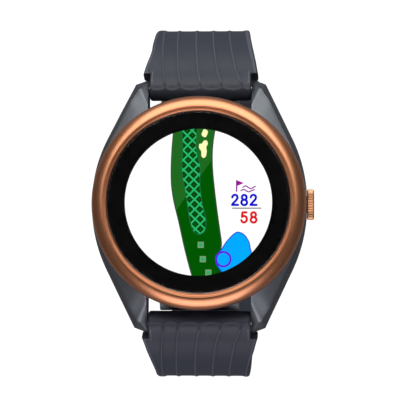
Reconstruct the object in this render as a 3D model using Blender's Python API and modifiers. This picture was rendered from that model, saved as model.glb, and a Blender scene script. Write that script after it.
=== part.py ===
"""Golf GPS watch: a plastic case with an aluminium bezel, a colour display, a crown and a rubber strap.

The origin is the centre of the back cover's flat outer face. +Z leaves the dial, +Y points to 12 o'clock
and +X to 3 o'clock, where the crown is. The strap is unfastened and hangs in its moulded curve.
Sizes in this file are millimetres; MM turns them into Blender's metres where a mesh is made.
"""

import math

import bmesh
import bpy
from mathutils import Matrix, Vector

MM = 0.001

# Driving dimensions
BEZEL_RADIUS = 22.5
LENS_RADIUS = 19.1
CASE_HALF_WIDTH = 22.75
LUG_GAP = 22.0
STRAP_WIDTH = 20.0
STRAP_WIDTH_AT_LUGS = 24.6
STRAP_THICKNESS = 2.6

# Case shell
CAVITY_RADIUS = 17.8
LIP_RADIUS = 16.6
LIP_LOW, LIP_HIGH = 6.6, 7.1
COLLAR_RADIUS = 20.9
COLLAR_TOP = 10.5
SHOULDER_TOP = 9.15
CASE_UNDERSIDE = 0.4
COVER_RECESS_RADIUS = 19.05
COVER_RECESS_TOP = 1.75
SIDE_ARC_RADIUS = 32.5
LUG_SIDE_SLOPE = 0.5
LUG_CORNER = (13.9, 26.0)
LUG_TIP_Y = 27.1
LUG_TIP_TOP = 5.0
WALL_BLOCK_HALF_WIDTH = 8.3
WALL_BLOCK_Y = 21.7
GAP_WALL_RADIUS = 21.05

# Spring bars between the lugs
BAR_Y, BAR_Z = 25.0, 3.4
BAR_TUBE_RADIUS = 0.9
BAR_BORE_RADIUS = 0.6
BAR_TUBE_HALF = 9.0
TIP_HOLE_RADIUS = 0.5
TIP_HOLE_END = 12.7

# Crown, all on one axis along X
CROWN_Z = 4.9
CROWN_RADIUS = 3.25
CROWN_INNER_X, CROWN_OUTER_X = 22.65, 24.2
CROWN_POCKET_RADIUS = 3.5
CROWN_POCKET_X = 22.2
CROWN_TEETH = 36
TUBE_HOLE_RADIUS = 1.55
SPRING_SEAT_RADIUS = 2.55
SPRING_SEAT_X = 21.7

# Back screws
BOSS_CIRCLE = 16.2
BOSS_RADIUS = 1.8
BOSS_LOW, BOSS_HIGH = 1.9, 4.9
SCREW_ANGLES = (45, 135, 225, 315)
BOARD_SCREW_ANGLES = (90, 200, 300)

# Strap centrelines: how steeply each leaves its bar, then its legs as (length, radius), straight where None
NECK_LENGTH = 3.3
KEEPER_ARC_RADIUS = 33.0
UPPER_ROUTE = (26.0, ((NECK_LENGTH, None), (18.5, 20.6), (51.2, KEEPER_ARC_RADIUS)))
LOWER_ROUTE = (36.0, ((NECK_LENGTH, None), (14.5, 17.1), (97.2, 70.0)))
NECK_WIDTH = 21.3
KNUCKLE_RADIUS = 2.6
KNUCKLE_BORE = 1.0
NECK_THICKNESS = 3.8
THINNING_END = 18.0
UPPER_TAPER_END, LOWER_TAPER_END = 24.0, 16.5
TAPER_POWER = 1.8
SHOULDER_STEP = 0.02
STRAP_STEP = 2.4
BUCKLE_KNUCKLE_RADIUS = 1.8
TONGUE_SLOT_WIDTH = 3.4
TONGUE_SLOT_LENGTH = 4.6
TAIL_ROUND = 8.5
TAIL_FULLNESS = 0.92
HOLE_COUNT = 8
HOLE_PITCH = 6.5
HOLE_FROM_TIP = 14.0
HOLE_SIZE = (2.2, 3.2)

# Buckle, keepers
PIN_RADIUS = 0.75
FRAME_INNER_HALF = 10.3
FRAME_OUTER_HALF = 12.4
FRAME_LENGTH = 11.0
FRAME_BAR = 2.3
FRAME_HALF_THICKNESS = 1.1
FRAME_EAR_RADIUS = 2.1
TONGUE_HALF_WIDTH = 0.9
KEEPER_CLEARANCE = 0.25
KEEPER_TAIL_ROOM = 3.1
KEEPER_WALL = 1.2
KEEPER_BAND = 5.0
FIXED_KEEPER_S = 64.0
FREE_KEEPER_S = 56.5

# Inside the case
BOARD_LOW, BOARD_HIGH = 5.7, 6.5
BATTERY_SIZE = (20.0, 18.0, 3.2)
BATTERY_CENTRE = (-3.0, 0.0, 3.6)
MOTOR_CENTRE = (10.9, -5.2)

FINE, MEDIUM, COARSE = 64, 32, 16


def clear_scene():
    """Remove whatever the file opened with."""
    for item in list(bpy.data.objects):
        bpy.data.objects.remove(item)


def new_collection(name):
    """Make a collection under the scene's own."""
    made = bpy.data.collections.new(name)
    bpy.context.scene.collection.children.link(made)
    return made


def linear(red, green, blue):
    """Turn an 8-bit display colour into the linear RGBA that a shader takes."""
    return tuple((channel / 255) ** 2.2 for channel in (red, green, blue)) + (1.0,)


def material(name, colour, roughness, metallic=0.0):
    """Make one Principled material."""
    made = bpy.data.materials.new(name)
    made.use_nodes = True
    shader = made.node_tree.nodes["Principled BSDF"]
    shader.inputs["Base Color"].default_value = linear(*colour)
    shader.inputs["Roughness"].default_value = roughness
    shader.inputs["Metallic"].default_value = metallic
    return made


def make_materials():
    """Every finish on the watch, by name."""
    return {
        "case_plastic": material("case_plastic", (62, 64, 72), 0.42),
        "copper": material("copper", (214, 150, 106), 0.3, 1.0),
        "glass": material("glass", (20, 18, 22), 0.05),
        "ink": material("ink", (12, 10, 14), 0.3),
        "display": material("display", (235, 238, 240), 0.3),
        "rubber": material("rubber", (66, 68, 78), 0.6),
        "steel": material("steel", (190, 190, 192), 0.28, 1.0),
        "gold": material("gold", (226, 186, 104), 0.25, 1.0),
        "board": material("board", (22, 84, 52), 0.5),
        "chip": material("chip", (24, 24, 26), 0.45),
        "shield": material("shield", (176, 178, 182), 0.35, 1.0),
        "flex": material("flex", (184, 112, 40), 0.4),
        "foil": material("foil", (196, 198, 204), 0.4, 1.0),
        "seal": material("seal", (28, 28, 30), 0.7),
        "red_wire": material("red_wire", (176, 24, 22), 0.5),
        "black_wire": material("black_wire", (18, 18, 20), 0.5),
        "back_plastic": material("back_plastic", (46, 47, 52), 0.5),
    }


def add(name, mesh, finish, group=None):
    """Put a mesh in the scene as a named object."""
    item = bpy.data.objects.new(name, mesh)
    if finish:
        mesh.materials.append(FINISHES[finish])
    (group or WATCH).objects.link(item)
    return item


def smooth(mesh, angle=30.0):
    """Shade smooth, keeping creases sharper than the angle."""
    mesh.shade_smooth()
    mesh.set_sharp_from_angle(angle=math.radians(angle))


def turned(name, profile, finish, steps=MEDIUM, ring=False, centre=(0, 0, 0), along_x=False, group=None):
    """Turn a profile of (radius, height) about its own Z axis; a ring's profile closes on itself.

    The profile is put in order so that its outer side runs from top to bottom.
    """
    points = list(profile)
    pairs = zip(points, points[1:] + points[:1])
    if sum((b[0] - a[0]) * (b[1] + a[1]) for a, b in pairs) < 0:
        points.reverse()
    mesh = bpy.data.meshes.new(name)
    count = len(points)
    edges = [(i, i + 1) for i in range(count - 1)]
    if ring:
        edges.append((count - 1, 0))
    mesh.from_pydata([(r * MM, 0, z * MM) for r, z in points], edges, [])
    item = add(name, mesh, finish, group)
    screw = item.modifiers.new("turn", "SCREW")
    screw.steps = screw.render_steps = steps
    screw.use_merge_vertices = True
    screw.merge_threshold = 1e-6
    screw.use_smooth_shade = True
    item.location = Vector(centre) * MM
    if along_x:
        item.rotation_euler = (0, math.radians(90), 0)
    return item


def as_mesh(item):
    """Replace an object's modifiers or curve by the mesh they make, welded, in place."""
    bpy.context.view_layer.update()
    graph = bpy.context.evaluated_depsgraph_get()
    made = bpy.data.meshes.new_from_object(item.evaluated_get(graph))
    work = bmesh.new()
    work.from_mesh(made)
    bmesh.ops.remove_doubles(work, verts=work.verts, dist=1e-7)
    bmesh.ops.recalc_face_normals(work, faces=work.faces)
    work.to_mesh(made)
    work.free()
    name, world, groups = item.name, item.matrix_world.copy(), item.users_collection
    bpy.data.objects.remove(item)
    fresh = bpy.data.objects.new(name, made)
    fresh.matrix_world = world
    for group in groups:
        group.objects.link(fresh)
    return fresh


def set_origin(item, point):
    """Move an object's origin to a point and leave its shape where it is."""
    offset = Vector(point) * MM
    item.data.transform(Matrix.Translation(-offset) @ item.matrix_world)
    item.matrix_world = Matrix.Translation(offset)


def prism(name, outline, low, high, finish, group=None):
    """Extrude a flat outline of (x, y) from one height to another."""
    curve = bpy.data.curves.new(name, "CURVE")
    curve.dimensions = "2D"
    curve.fill_mode = "BOTH"
    curve.extrude = (high - low) / 2 * MM
    spline = curve.splines.new("POLY")
    spline.points.add(len(outline) - 1)
    for point, (x, y) in zip(spline.points, outline):
        point.co = (x * MM, y * MM, 0, 1)
    spline.use_cyclic_u = True
    item = add(name, curve, finish, group)
    item.location.z = (low + high) / 2 * MM
    return as_mesh(item)


def box(name, low, high, finish, bevel=0.0, group=None):
    """A box between two corners, with its edges rounded where a bevel is given."""
    work = bmesh.new()
    bmesh.ops.create_cube(work, size=1)
    size = Vector(high) - Vector(low)
    bmesh.ops.scale(work, vec=size * MM, verts=work.verts)
    mesh = bpy.data.meshes.new(name)
    work.to_mesh(mesh)
    work.free()
    item = add(name, mesh, finish, group)
    item.location = (Vector(low) + Vector(high)) / 2 * MM
    if bevel:
        rounding = item.modifiers.new("edges", "BEVEL")
        rounding.width = bevel * MM
        rounding.segments = 2
    return item


def rod(name, radius, start, end, finish=None, sides=COARSE, group=None):
    """A plain round rod between two points."""
    line = (Vector(end) - Vector(start)) * MM
    work = bmesh.new()
    bmesh.ops.create_cone(
        work, cap_ends=True, segments=sides, radius1=radius * MM, radius2=radius * MM, depth=line.length
    )
    mesh = bpy.data.meshes.new(name)
    work.to_mesh(mesh)
    work.free()
    item = add(name, mesh, finish, group)
    item.rotation_mode = "QUATERNION"
    item.rotation_quaternion = line.to_track_quat("Z", "Y")
    item.location = (Vector(start) + Vector(end)) / 2 * MM
    return item


def skin(name, rings, finish, wrap=False):
    """Join rings of equal size, end to end where wrap is set and capped at both ends where it isn't."""
    work = bmesh.new()
    loops = [[work.verts.new(Vector(p) * MM) for p in ring] for ring in rings]
    count = len(rings[0])
    spans = list(zip(loops, loops[1:])) + ([(loops[-1], loops[0])] if wrap else [])
    for a, b in spans:
        for i in range(count):
            j = (i + 1) % count
            work.faces.new((a[i], a[j], b[j], b[i]))
    if not wrap:
        work.faces.new(reversed(loops[0]))
        work.faces.new(loops[-1])
    bmesh.ops.recalc_face_normals(work, faces=work.faces)
    mesh = bpy.data.meshes.new(name)
    work.to_mesh(mesh)
    work.free()
    return add(name, mesh, finish)


def boolean(item, tool, operation="DIFFERENCE"):
    """Cut an object by a tool, or join the tool to it, and leave the tool as a hidden guide."""
    modifier = item.modifiers.new(f"{operation.lower()}_{tool.name}", "BOOLEAN")
    modifier.operation = operation
    modifier.object = tool
    tool.hide_render = True
    tool.display_type = "WIRE"


def circle(radius, start, end, steps, centre=(0, 0)):
    """Points along an arc, in degrees, both ends included."""
    angles = [math.radians(start + (end - start) * i / steps) for i in range(steps + 1)]
    return [(centre[0] + radius * math.cos(a), centre[1] + radius * math.sin(a)) for a in angles]


def ease(value, low, high):
    """0 below low, 1 above high, and a smooth step between."""
    t = min(1.0, max(0.0, (value - low) / (high - low)))
    return t * t * (3 - 2 * t)


# ---------------------------------------------------------------- case


def case_quadrant():
    """Outline of the case for x and y above 0, from 3 o'clock to 12: side arc, lug side, lug tip, bridge."""
    lean = math.atan(LUG_SIDE_SLOPE)
    arc = circle(SIDE_ARC_RADIUS, 0, math.degrees(lean), 8, (CASE_HALF_WIDTH - SIDE_ARC_RADIUS, 0))
    start, corner = Vector(arc[-1]), Vector(LUG_CORNER)
    side = [tuple(start.lerp(corner, i / 6)) for i in range(1, 7)]
    tip = (LUG_GAP / 2, LUG_TIP_Y)
    bridge = [(tip[0] * (1 - i / 3), LUG_TIP_Y) for i in range(1, 4)]
    return arc + side + [tip] + bridge


def case_outline():
    """The whole outline, made from the quadrant by symmetry, anticlockwise from 3 o'clock."""
    quadrant = case_quadrant()
    left = [(-x, y) for x, y in reversed(quadrant[:-1])]
    upper = quadrant + left
    return upper + [(x, -y) for x, y in reversed(upper[1:-1])]


def case_section(x, y):
    """The shell's closed section at one outline point, running out over the shoulder and back inside."""
    reach = math.hypot(x, y)
    ux, uy = x / reach, y / reach
    top = SHOULDER_TOP - (SHOULDER_TOP - LUG_TIP_TOP) * ease(abs(y), 8.0, LUG_TIP_Y)
    under = CASE_UNDERSIDE + 0.6 * ease(abs(y), 14.0, LUG_TIP_Y)
    edge = 0.3 + 0.9 * ease(abs(y), 4.0, 20.0)
    section = [
        (CAVITY_RADIUS, COLLAR_TOP),
        (COLLAR_RADIUS, COLLAR_TOP),
        (COLLAR_RADIUS, SHOULDER_TOP),
        (reach - edge, top),
        (reach, top - 1.3),
        (reach, under + 2.6),
        (reach - 1.8, under),
        (COVER_RECESS_RADIUS, CASE_UNDERSIDE),
        (COVER_RECESS_RADIUS, COVER_RECESS_TOP),
        (CAVITY_RADIUS, COVER_RECESS_TOP),
        (CAVITY_RADIUS, LIP_LOW),
        (LIP_RADIUS, LIP_LOW),
        (LIP_RADIUS, LIP_HIGH),
        (CAVITY_RADIUS, LIP_HIGH),
    ]
    return [(r * ux, r * uy, z) for r, z in section]


def gap_outline(side):
    """Where the strap's end sits between two lugs: round at the corners, flat in front of the wall block."""
    half = LUG_GAP / 2
    corner = math.degrees(math.acos(half / GAP_WALL_RADIUS))
    block = math.degrees(math.acos(WALL_BLOCK_HALF_WIDTH / GAP_WALL_RADIUS))
    right = circle(GAP_WALL_RADIUS, corner, block, 4) + [(WALL_BLOCK_HALF_WIDTH, WALL_BLOCK_Y)]
    outline = right + [(-x, y) for x, y in reversed(right)] + [(-half, 31.0), (half, 31.0)]
    return [(x, side * y) for x, y in outline]


def on_circle(radius, degrees):
    """A point on a circle about the Z axis."""
    return radius * math.cos(math.radians(degrees)), radius * math.sin(math.radians(degrees))


def make_case():
    """The one-piece plastic case: shell, lugs, screw bosses, and its holes."""
    case = skin("mid_case", [case_section(x, y) for x, y in case_outline()], "case_plastic", wrap=True)
    smooth(case.data, 24)
    for side, where in ((1, "upper"), (-1, "lower")):
        boolean(case, prism(f"{where}_gap", gap_outline(side), -2, 12, None, CUTTERS))
        hole = ((-TIP_HOLE_END, side * BAR_Y, BAR_Z), (TIP_HOLE_END, side * BAR_Y, BAR_Z))
        boolean(case, rod(f"{where}_tip_holes", TIP_HOLE_RADIUS, *hole, group=CUTTERS))
    for number, degrees in enumerate(SCREW_ANGLES, 1):
        x, y = on_circle(BOSS_CIRCLE, degrees)
        boss = rod(f"boss_{number}", BOSS_RADIUS, (x, y, BOSS_LOW), (x, y, BOSS_HIGH), group=CUTTERS)
        boolean(case, boss, "UNION")
        boolean(case, rod(f"pilot_{number}", 0.7, (x, y, 0), (x, y, BOSS_HIGH - 0.3), group=CUTTERS))
    axis = (0, CROWN_Z)
    boolean(case, rod("tube_hole", TUBE_HOLE_RADIUS, (16, *axis), (24, *axis), group=CUTTERS))
    boolean(case, rod("spring_seat", SPRING_SEAT_RADIUS, (SPRING_SEAT_X, *axis), (24, *axis), group=CUTTERS))
    pocket = rod("crown_pocket", CROWN_POCKET_RADIUS, (CROWN_POCKET_X, *axis), (24, *axis),
                 sides=FINE, group=CUTTERS)
    boolean(case, pocket)


def make_bezel():
    """The domed metal ring over the case's collar, with a fine inner step beside the lens."""
    dome = [
        (21.15, 9.35), (22.25, 9.35), (22.5, 9.65), (22.5, 10.2), (22.2, 11.3), (21.6, 12.1), (20.9, 12.58),
        (20.35, 12.72), (19.85, 12.6), (19.5, 12.6), (19.2, 12.3), (19.2, 10.58), (21.15, 10.58),
    ]
    turned("bezel", dome, "copper", FINE, ring=True)


def make_display():
    """Everything between the lens and the lip that carries the display."""
    turned("lens", [(0, 12.15), (18.65, 12.15), (19.1, 11.8), (19.1, 10.8), (0, 10.8)], "glass", FINE)
    mask = [(15.4, 10.69), (15.4, 10.77), (19.0, 10.77), (19.0, 10.69)]
    turned("lens_mask", mask, "ink", FINE, ring=True)
    adhesive = [(17.95, 10.53), (17.95, 10.66), (18.95, 10.66), (18.95, 10.53)]
    turned("lens_adhesive", adhesive, "seal", FINE, ring=True)
    turned("touch_sensor", [(0, 10.63), (17.2, 10.63), (17.2, 10.49), (0, 10.49)], "display", MEDIUM)
    turned("display_panel", [(0, 10.45), (16.9, 10.45), (16.9, 9.25), (0, 9.25)], "display", MEDIUM)
    flat = math.degrees(math.asin(15.6 / 17.1))
    prism("backlight_plate", circle(17.1, -flat, 180 + flat, 44), 8.2, 8.95, "display")
    make_bracket()
    make_antenna()
    flex = [
        (-14.2, 9.17), (-15.7, 9.17), (-16.0, 8.9), (-16.0, 6.9), (-15.7, 6.56), (-13.3, 6.56),
        (-13.3, 6.7), (-15.64, 6.7), (-15.85, 6.96), (-15.85, 8.84), (-15.64, 9.03), (-14.2, 9.03),
    ]
    sideways("display_flex", flex, -4.2, 4.2, "flex")
    box("display_connector", (-4.4, -13.1, 6.53), (4.4, -11.2, 7.05), "chip")


def sideways(name, outline, low, high, finish, group=None):
    """Extrude an outline of (y, z) along X."""
    item = prism(name, outline, low, high, finish, group)
    turn = Matrix(((0, 0, 1), (1, 0, 0), (0, 1, 0))).to_4x4()
    item.data.transform(turn @ item.matrix_world)
    item.matrix_world = Matrix.Identity(4)
    return item


def make_bracket():
    """The plate under the display, with a notch for its flex and three posts for the board screws."""
    notch = [(5.2, -16.15), (5.2, -15.0), (-5.2, -15.0), (-5.2, -16.15)]
    start = math.degrees(math.atan2(-16.15, 5.2))
    outline = circle(17.0, start, 180 - start, 44) + list(reversed(notch))
    bracket = prism("display_bracket", outline, 7.15, 8.1, "chip")
    for number, degrees in enumerate(BOARD_SCREW_ANGLES, 1):
        x, y = on_circle(14.3, degrees)
        post = rod(f"post_{number}", 1.3, (x, y, 6.56), (x, y, 7.6), group=CUTTERS)
        boolean(bracket, post, "UNION")
        boolean(bracket, rod(f"post_bore_{number}", 0.5, (x, y, 6), (x, y, 7.7), group=CUTTERS))
        screw = [(0, 7.6), (0.42, 7.6), (0.42, 5.65), (0.95, 5.65), (0.95, 5.27), (0, 5.27)]
        turned(f"board_screw_{number}", screw, "steel", COARSE, centre=(x, y, 0))


def make_antenna():
    """A plated strip that runs round the 12 o'clock side of the display bracket."""
    outline = circle(17.6, 35, 145, 20) + list(reversed(circle(17.2, 35, 145, 20)))
    prism("gps_antenna", outline, 7.2, 8.9, "gold")


def make_board():
    """The main board with its notches, and the parts soldered to it."""
    board = prism("main_board", circle(17.2, 0, 360 - 360 / 60, 59), BOARD_LOW, BOARD_HIGH, "board")
    for number, degrees in enumerate(SCREW_ANGLES, 1):
        x, y = on_circle(BOSS_CIRCLE, degrees)
        boolean(board, rod(f"notch_{number}", 2.1, (x, y, 5), (x, y, 7), group=CUTTERS))
    for number, degrees in enumerate(BOARD_SCREW_ANGLES, 1):
        x, y = on_circle(14.3, degrees)
        boolean(board, rod(f"board_hole_{number}", 0.55, (x, y, 5), (x, y, 7), group=CUTTERS))
    boolean(board, box("crown_notch", (16.2, -2.2, 5), (18, 2.2, 7), None, group=CUTTERS))
    boolean(board, box("flex_notch", (-5, -18, 5), (5, -16.1, 7), None, group=CUTTERS))
    box("processor", (-8, -1.5, 6.53), (-1, 5.5, 7.05), "chip", 0.08)
    box("flash_memory", (2, 0, 6.53), (7, 5, 7.0), "chip", 0.08)
    box("rf_shield", (-9.3, 9.9, 4.3), (-1.6, 14.2, 5.67), "shield", 0.2)
    box("battery_connector", (1.2, 10.6, 4.3), (5.2, 13.2, 5.67), "chip", 0.1)


def make_battery():
    """The pouch cell, its foam pad and its two leads."""
    half = Vector(BATTERY_SIZE) / 2
    centre = Vector(BATTERY_CENTRE)
    box("battery", centre - half, centre + half, "foil", 0.6)
    box("battery_pad", (-10, -6, 1.15), (4, 6, 1.95), "seal")
    for name, x, finish in (("positive", 2.6, "red_wire"), ("negative", 3.8, "black_wire")):
        make_lead(f"battery_lead_{name}", x, finish)


def make_lead(name, x, finish):
    """A short wire that bows from the battery's edge to its connector."""
    curve = bpy.data.curves.new(name, "CURVE")
    curve.dimensions = "3D"
    curve.bevel_depth = 0.3 * MM
    curve.bevel_resolution = 2
    curve.use_fill_caps = True
    steps = 8
    spline = curve.splines.new("POLY")
    spline.points.add(steps)
    for i, point in enumerate(spline.points):
        t = i / steps
        point.co = (x * MM, (9.2 + 1.2 * t) * MM, (4.6 + 0.3 * t - 0.5 * math.sin(math.pi * t)) * MM, 1)
    add(name, curve, finish)


def make_motor():
    """The coin motor that vibrates: a can, its base, a shaft and the half-round weight that spins on it."""
    x, y = MOTOR_CENTRE
    can = [(0, 5.6), (3.5, 5.6), (3.5, 3.3), (3.25, 3.3), (3.25, 5.35), (0, 5.35)]
    turned("motor_can", can, "shield", MEDIUM, centre=(x, y, 0))
    turned("motor_base", [(0, 3.2), (3.4, 3.2), (3.4, 2.95), (0, 2.95)], "chip", MEDIUM, centre=(x, y, 0))
    turned("motor_shaft", [(0, 5.3), (0.3, 5.3), (0.3, 3.25), (0, 3.25)], "steel", COARSE, centre=(x, y, 0))
    hub = circle(1.0, 185, 355, 10) + circle(2.9, 0, 180, 20)
    rotor = prism("motor_rotor", [(x + px, y + py) for px, py in hub], 3.7, 4.9, "steel")
    set_origin(rotor, (x, y, 0))
    boolean(rotor, rod("rotor_bore", 0.37, (x, y, 3), (x, y, 6), group=CUTTERS))


# ---------------------------------------------------------------- crown and switch


def gear_outline(radius, teeth, depth):
    """A knurled rim: each tooth has a flat top and a flat root."""
    points = []
    for tooth in range(teeth):
        for share, r in ((0.0, radius), (0.42, radius), (0.58, radius - depth), (0.84, radius - depth)):
            angle = 2 * math.pi * (tooth + share) / teeth
            points.append((r * math.cos(angle), r * math.sin(angle)))
    return points


def make_crown():
    """The knurled knob, its stem, and what guides, seals, springs and retains it."""
    rim = gear_outline(CROWN_RADIUS, CROWN_TEETH, 0.22)
    crown = sideways("crown", rim, CROWN_INNER_X, CROWN_OUTER_X, "copper")
    crown.location = (0, 0, CROWN_Z * MM)
    axis = (0, CROWN_Z)
    boolean(crown, rod("crown_recess", 2.45, (20, *axis), (23.75, *axis), group=CUTTERS))
    boolean(crown, rod("crown_bore", 0.65, (20, *axis), (24.05, *axis), group=CUTTERS))
    stem = [
        (0, 24.0), (0.6, 24.0), (0.6, 23.6), (0.75, 23.6), (0.75, 17.9), (0.5, 17.9),
        (0.5, 17.55), (0.75, 17.55), (0.75, 16.95), (0, 16.95),
    ]
    on_axis = {"centre": (0, 0, CROWN_Z), "along_x": True}
    turned("crown_stem", stem, "steel", COARSE, **on_axis)
    clip = [(0.55, 17.6), (0.55, 17.85), (1.4, 17.85), (1.4, 17.6)]
    turned("crown_clip", clip, "steel", COARSE, ring=True, **on_axis)
    tube = [
        (0.8, 17.9), (1.5, 17.9), (1.5, 21.65), (1.25, 21.65), (1.25, 22.7), (0.8, 22.7),
        (0.8, 21.4), (1.15, 21.4), (1.15, 20.7), (0.8, 20.7),
    ]
    turned("crown_tube", tube, "steel", MEDIUM, ring=True, **on_axis)
    seal = circle(0.16, 0, 324, 9, (0.95, 21.05))
    turned("crown_oring", seal, "seal", COARSE, ring=True, **on_axis)
    washer = [(1.35, 23.53), (1.35, 23.68), (2.3, 23.68), (2.3, 23.53)]
    turned("crown_washer", washer, "steel", MEDIUM, ring=True, **on_axis)
    make_coil("crown_spring", 1.85, 0.13, 21.85, 23.37, 3.5)


def make_coil(name, radius, wire, start, end, turns):
    """A round wire wound on the crown's axis."""
    curve = bpy.data.curves.new(name, "CURVE")
    curve.dimensions = "3D"
    curve.bevel_depth = wire * MM
    curve.bevel_resolution = 1
    curve.use_fill_caps = True
    steps = round(turns * 14)
    spline = curve.splines.new("POLY")
    spline.points.add(steps)
    for i, point in enumerate(spline.points):
        angle = 2 * math.pi * turns * i / steps
        y, z = radius * math.cos(angle), CROWN_Z + radius * math.sin(angle)
        point.co = ((start + (end - start) * i / steps) * MM, y * MM, z * MM, 1)
    add(name, curve, "steel")


def make_switch():
    """The side-press switch on the board's edge, in line with the stem."""
    body = box("switch_body", (13.4, -1.9, 4.1), (16.0, 1.9, 5.67), "chip")
    axis = (0, CROWN_Z)
    boolean(body, rod("switch_bore", 0.6, (14.6, *axis), (17, *axis), group=CUTTERS))
    plunger = [(0, 16.9), (0.48, 16.9), (0.48, 15.1), (0, 15.1)]
    turned("switch_plunger", plunger, "seal", COARSE, centre=(0, 0, CROWN_Z), along_x=True)


# ---------------------------------------------------------------- back


def make_back():
    """The round back cover with its gasket, four screws and four charging contacts."""
    profile = [
        (0, 1.1), (13.2, 1.1), (13.5, 1.6), (17.95, 1.6), (17.95, 1.0), (18.65, 1.0), (18.65, 1.6),
        (18.9, 1.6), (18.9, 0.5), (18.4, 0.0), (0, 0.0),
    ]
    cover = turned("back_cover", profile, "back_plastic", FINE)
    turned("back_gasket", circle(0.32, 0, 315, 7, (18.3, 1.36)), "seal", FINE, ring=True)
    head = [(0, 4.4), (0.62, 4.4), (0.62, 1.0), (1.2, 0.55), (1.2, 0.1), (0, 0.1)]
    for number, degrees in enumerate(SCREW_ANGLES, 1):
        x, y = on_circle(BOSS_CIRCLE, degrees)
        sink = turned(
            f"countersink_{number}", [(0, 2), (0.75, 2), (0.75, 1.1), (1.35, 0.6), (1.35, -0.5), (0, -0.5)],
            None, COARSE, centre=(x, y, 0), group=CUTTERS,
        )
        boolean(cover, sink)
        screw = turned(f"back_screw_{number}", head, "steel", COARSE, centre=(x, y, 0))
        socket = rod(f"socket_{number}", 0.6, (x, y, -0.5), (x, y, 0.55), sides=6, group=CUTTERS)
        boolean(screw, socket)
    pad = [(0, 1.5), (0.5, 1.5), (0.5, 0.45), (0.95, 0.45), (0.95, 0.03), (0, 0.03)]
    for number in range(1, 5):
        x = (number - 2.5) * 2.6
        well = rod(f"contact_well_{number}", 1.02, (x, -9, -1), (x, -9, 0.5), group=CUTTERS)
        boolean(cover, well)
        boolean(cover, rod(f"contact_bore_{number}", 0.57, (x, -9, -1), (x, -9, 3), group=CUTTERS))
        turned(f"charging_contact_{number}", pad, "gold", COARSE, centre=(x, -9, 0))


# ---------------------------------------------------------------- strap


def along(route, s):
    """Where a strap's centreline is at length s from its bar: y, z and its heading in radians below level."""
    start, legs = route
    y, z, heading = BAR_Y, BAR_Z, math.radians(start)
    for length, radius in legs:
        step = min(length, s)
        if radius is None:
            y, z = y + step * math.cos(heading), z - step * math.sin(heading)
        else:
            turn = heading + step / radius
            y += radius * (math.sin(turn) - math.sin(heading))
            z += radius * (math.cos(turn) - math.cos(heading))
            heading = turn
        s -= step
        if s <= 0:
            break
    return y, z, heading


def length_of(route):
    """A strap's whole length from its bar."""
    return sum(length for length, _ in route[1])


def strap_width(s, total, tail):
    """Full width at s past the neck: wide beside the lugs, tapering to an even band, round at the tail."""
    taper_end = LOWER_TAPER_END if tail else UPPER_TAPER_END
    left = max(0.0, (taper_end - s) / (taper_end - NECK_LENGTH)) ** TAPER_POWER
    width = STRAP_WIDTH + (STRAP_WIDTH_AT_LUGS - STRAP_WIDTH) * left
    if tail and s > total - TAIL_ROUND:
        share = (s - (total - TAIL_ROUND)) / TAIL_ROUND
        width *= math.sqrt(1 - TAIL_FULLNESS * share**2)
    return width


def strap_thickness(s):
    """Thickness at s, thinning from the neck to the even band."""
    return NECK_THICKNESS + (STRAP_THICKNESS - NECK_THICKNESS) * ease(s, 0.0, THINNING_END)


def strap_ring(route, s, width, side):
    """The strap's cross-section at s, a rectangle with its corners taken off."""
    y, z, heading = along(route, s)
    half_width, half_depth, corner = width / 2, strap_thickness(s) / 2, 0.45
    flat = [
        (half_width - corner, half_depth), (half_width, half_depth - corner),
        (half_width, corner - half_depth), (half_width - corner, -half_depth),
    ]
    section = flat + [(-x, n) for x, n in reversed(flat)]
    out_y, out_z = math.sin(heading), math.cos(heading)
    return [(x, side * (y + n * out_y), z + n * out_z) for x, n in section]


def strap_band(name, route, side, tail):
    """The band itself: a short neck between the lugs, then the wide part after a square step."""
    total = length_of(route)
    rings = [strap_ring(route, s, NECK_WIDTH, side) for s in (0.0, NECK_LENGTH / 2, NECK_LENGTH)]
    straight = total - TAIL_ROUND if tail else total
    steps = round(straight / STRAP_STEP)
    start = NECK_LENGTH + SHOULDER_STEP
    stations = [start + (straight - start) * i / steps for i in range(steps + 1)]
    if tail:
        stations += [straight + TAIL_ROUND * math.sin(math.radians(11.25 * i)) for i in range(1, 9)]
    rings += [strap_ring(route, s, strap_width(s, total, tail), side) for s in stations]
    band = skin(name, rings, "rubber")
    set_origin(band, (0, side * BAR_Y, BAR_Z))
    return band


def across(name, radius, y, z, half, **more):
    """A rod along X through (y, z)."""
    return rod(name, radius, (-half, y, z), (half, y, z), **more)


def add_knuckle(strap, name, side):
    """Join the round end that the spring bar runs through."""
    boolean(strap, across(f"{name}_knuckle", KNUCKLE_RADIUS, side * BAR_Y, BAR_Z, NECK_WIDTH / 2,
                          sides=32, group=CUTTERS), "UNION")
    boolean(strap, across(f"{name}_bar_bore", KNUCKLE_BORE, side * BAR_Y, BAR_Z, 15, group=CUTTERS))


def make_upper_strap():
    """The short half at 12 o'clock, which carries the buckle."""
    strap = strap_band("strap_upper", UPPER_ROUTE, 1, tail=False)
    add_knuckle(strap, "upper", 1)
    total = length_of(UPPER_ROUTE)
    y, z, heading = along(UPPER_ROUTE, total)
    knuckle = across("buckle_knuckle", BUCKLE_KNUCKLE_RADIUS, y, z, STRAP_WIDTH / 2 - 0.02, group=CUTTERS)
    boolean(strap, knuckle, "UNION")
    boolean(strap, across("buckle_bore", PIN_RADIUS + 0.1, y, z, 15, group=CUTTERS))
    half = TONGUE_SLOT_WIDTH / 2
    slot = box("tongue_slot", (-half, -TONGUE_SLOT_LENGTH, -4), (half, 4, 4), None, group=CUTTERS)
    slot.location = (0, 0, 0)
    slot.data.transform(Matrix.Translation((0, (4 - TONGUE_SLOT_LENGTH) / 2 * MM, 0)))
    slot.location = (0, y * MM, z * MM)
    slot.rotation_euler = (-heading, 0, 0)
    boolean(strap, slot)


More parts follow.
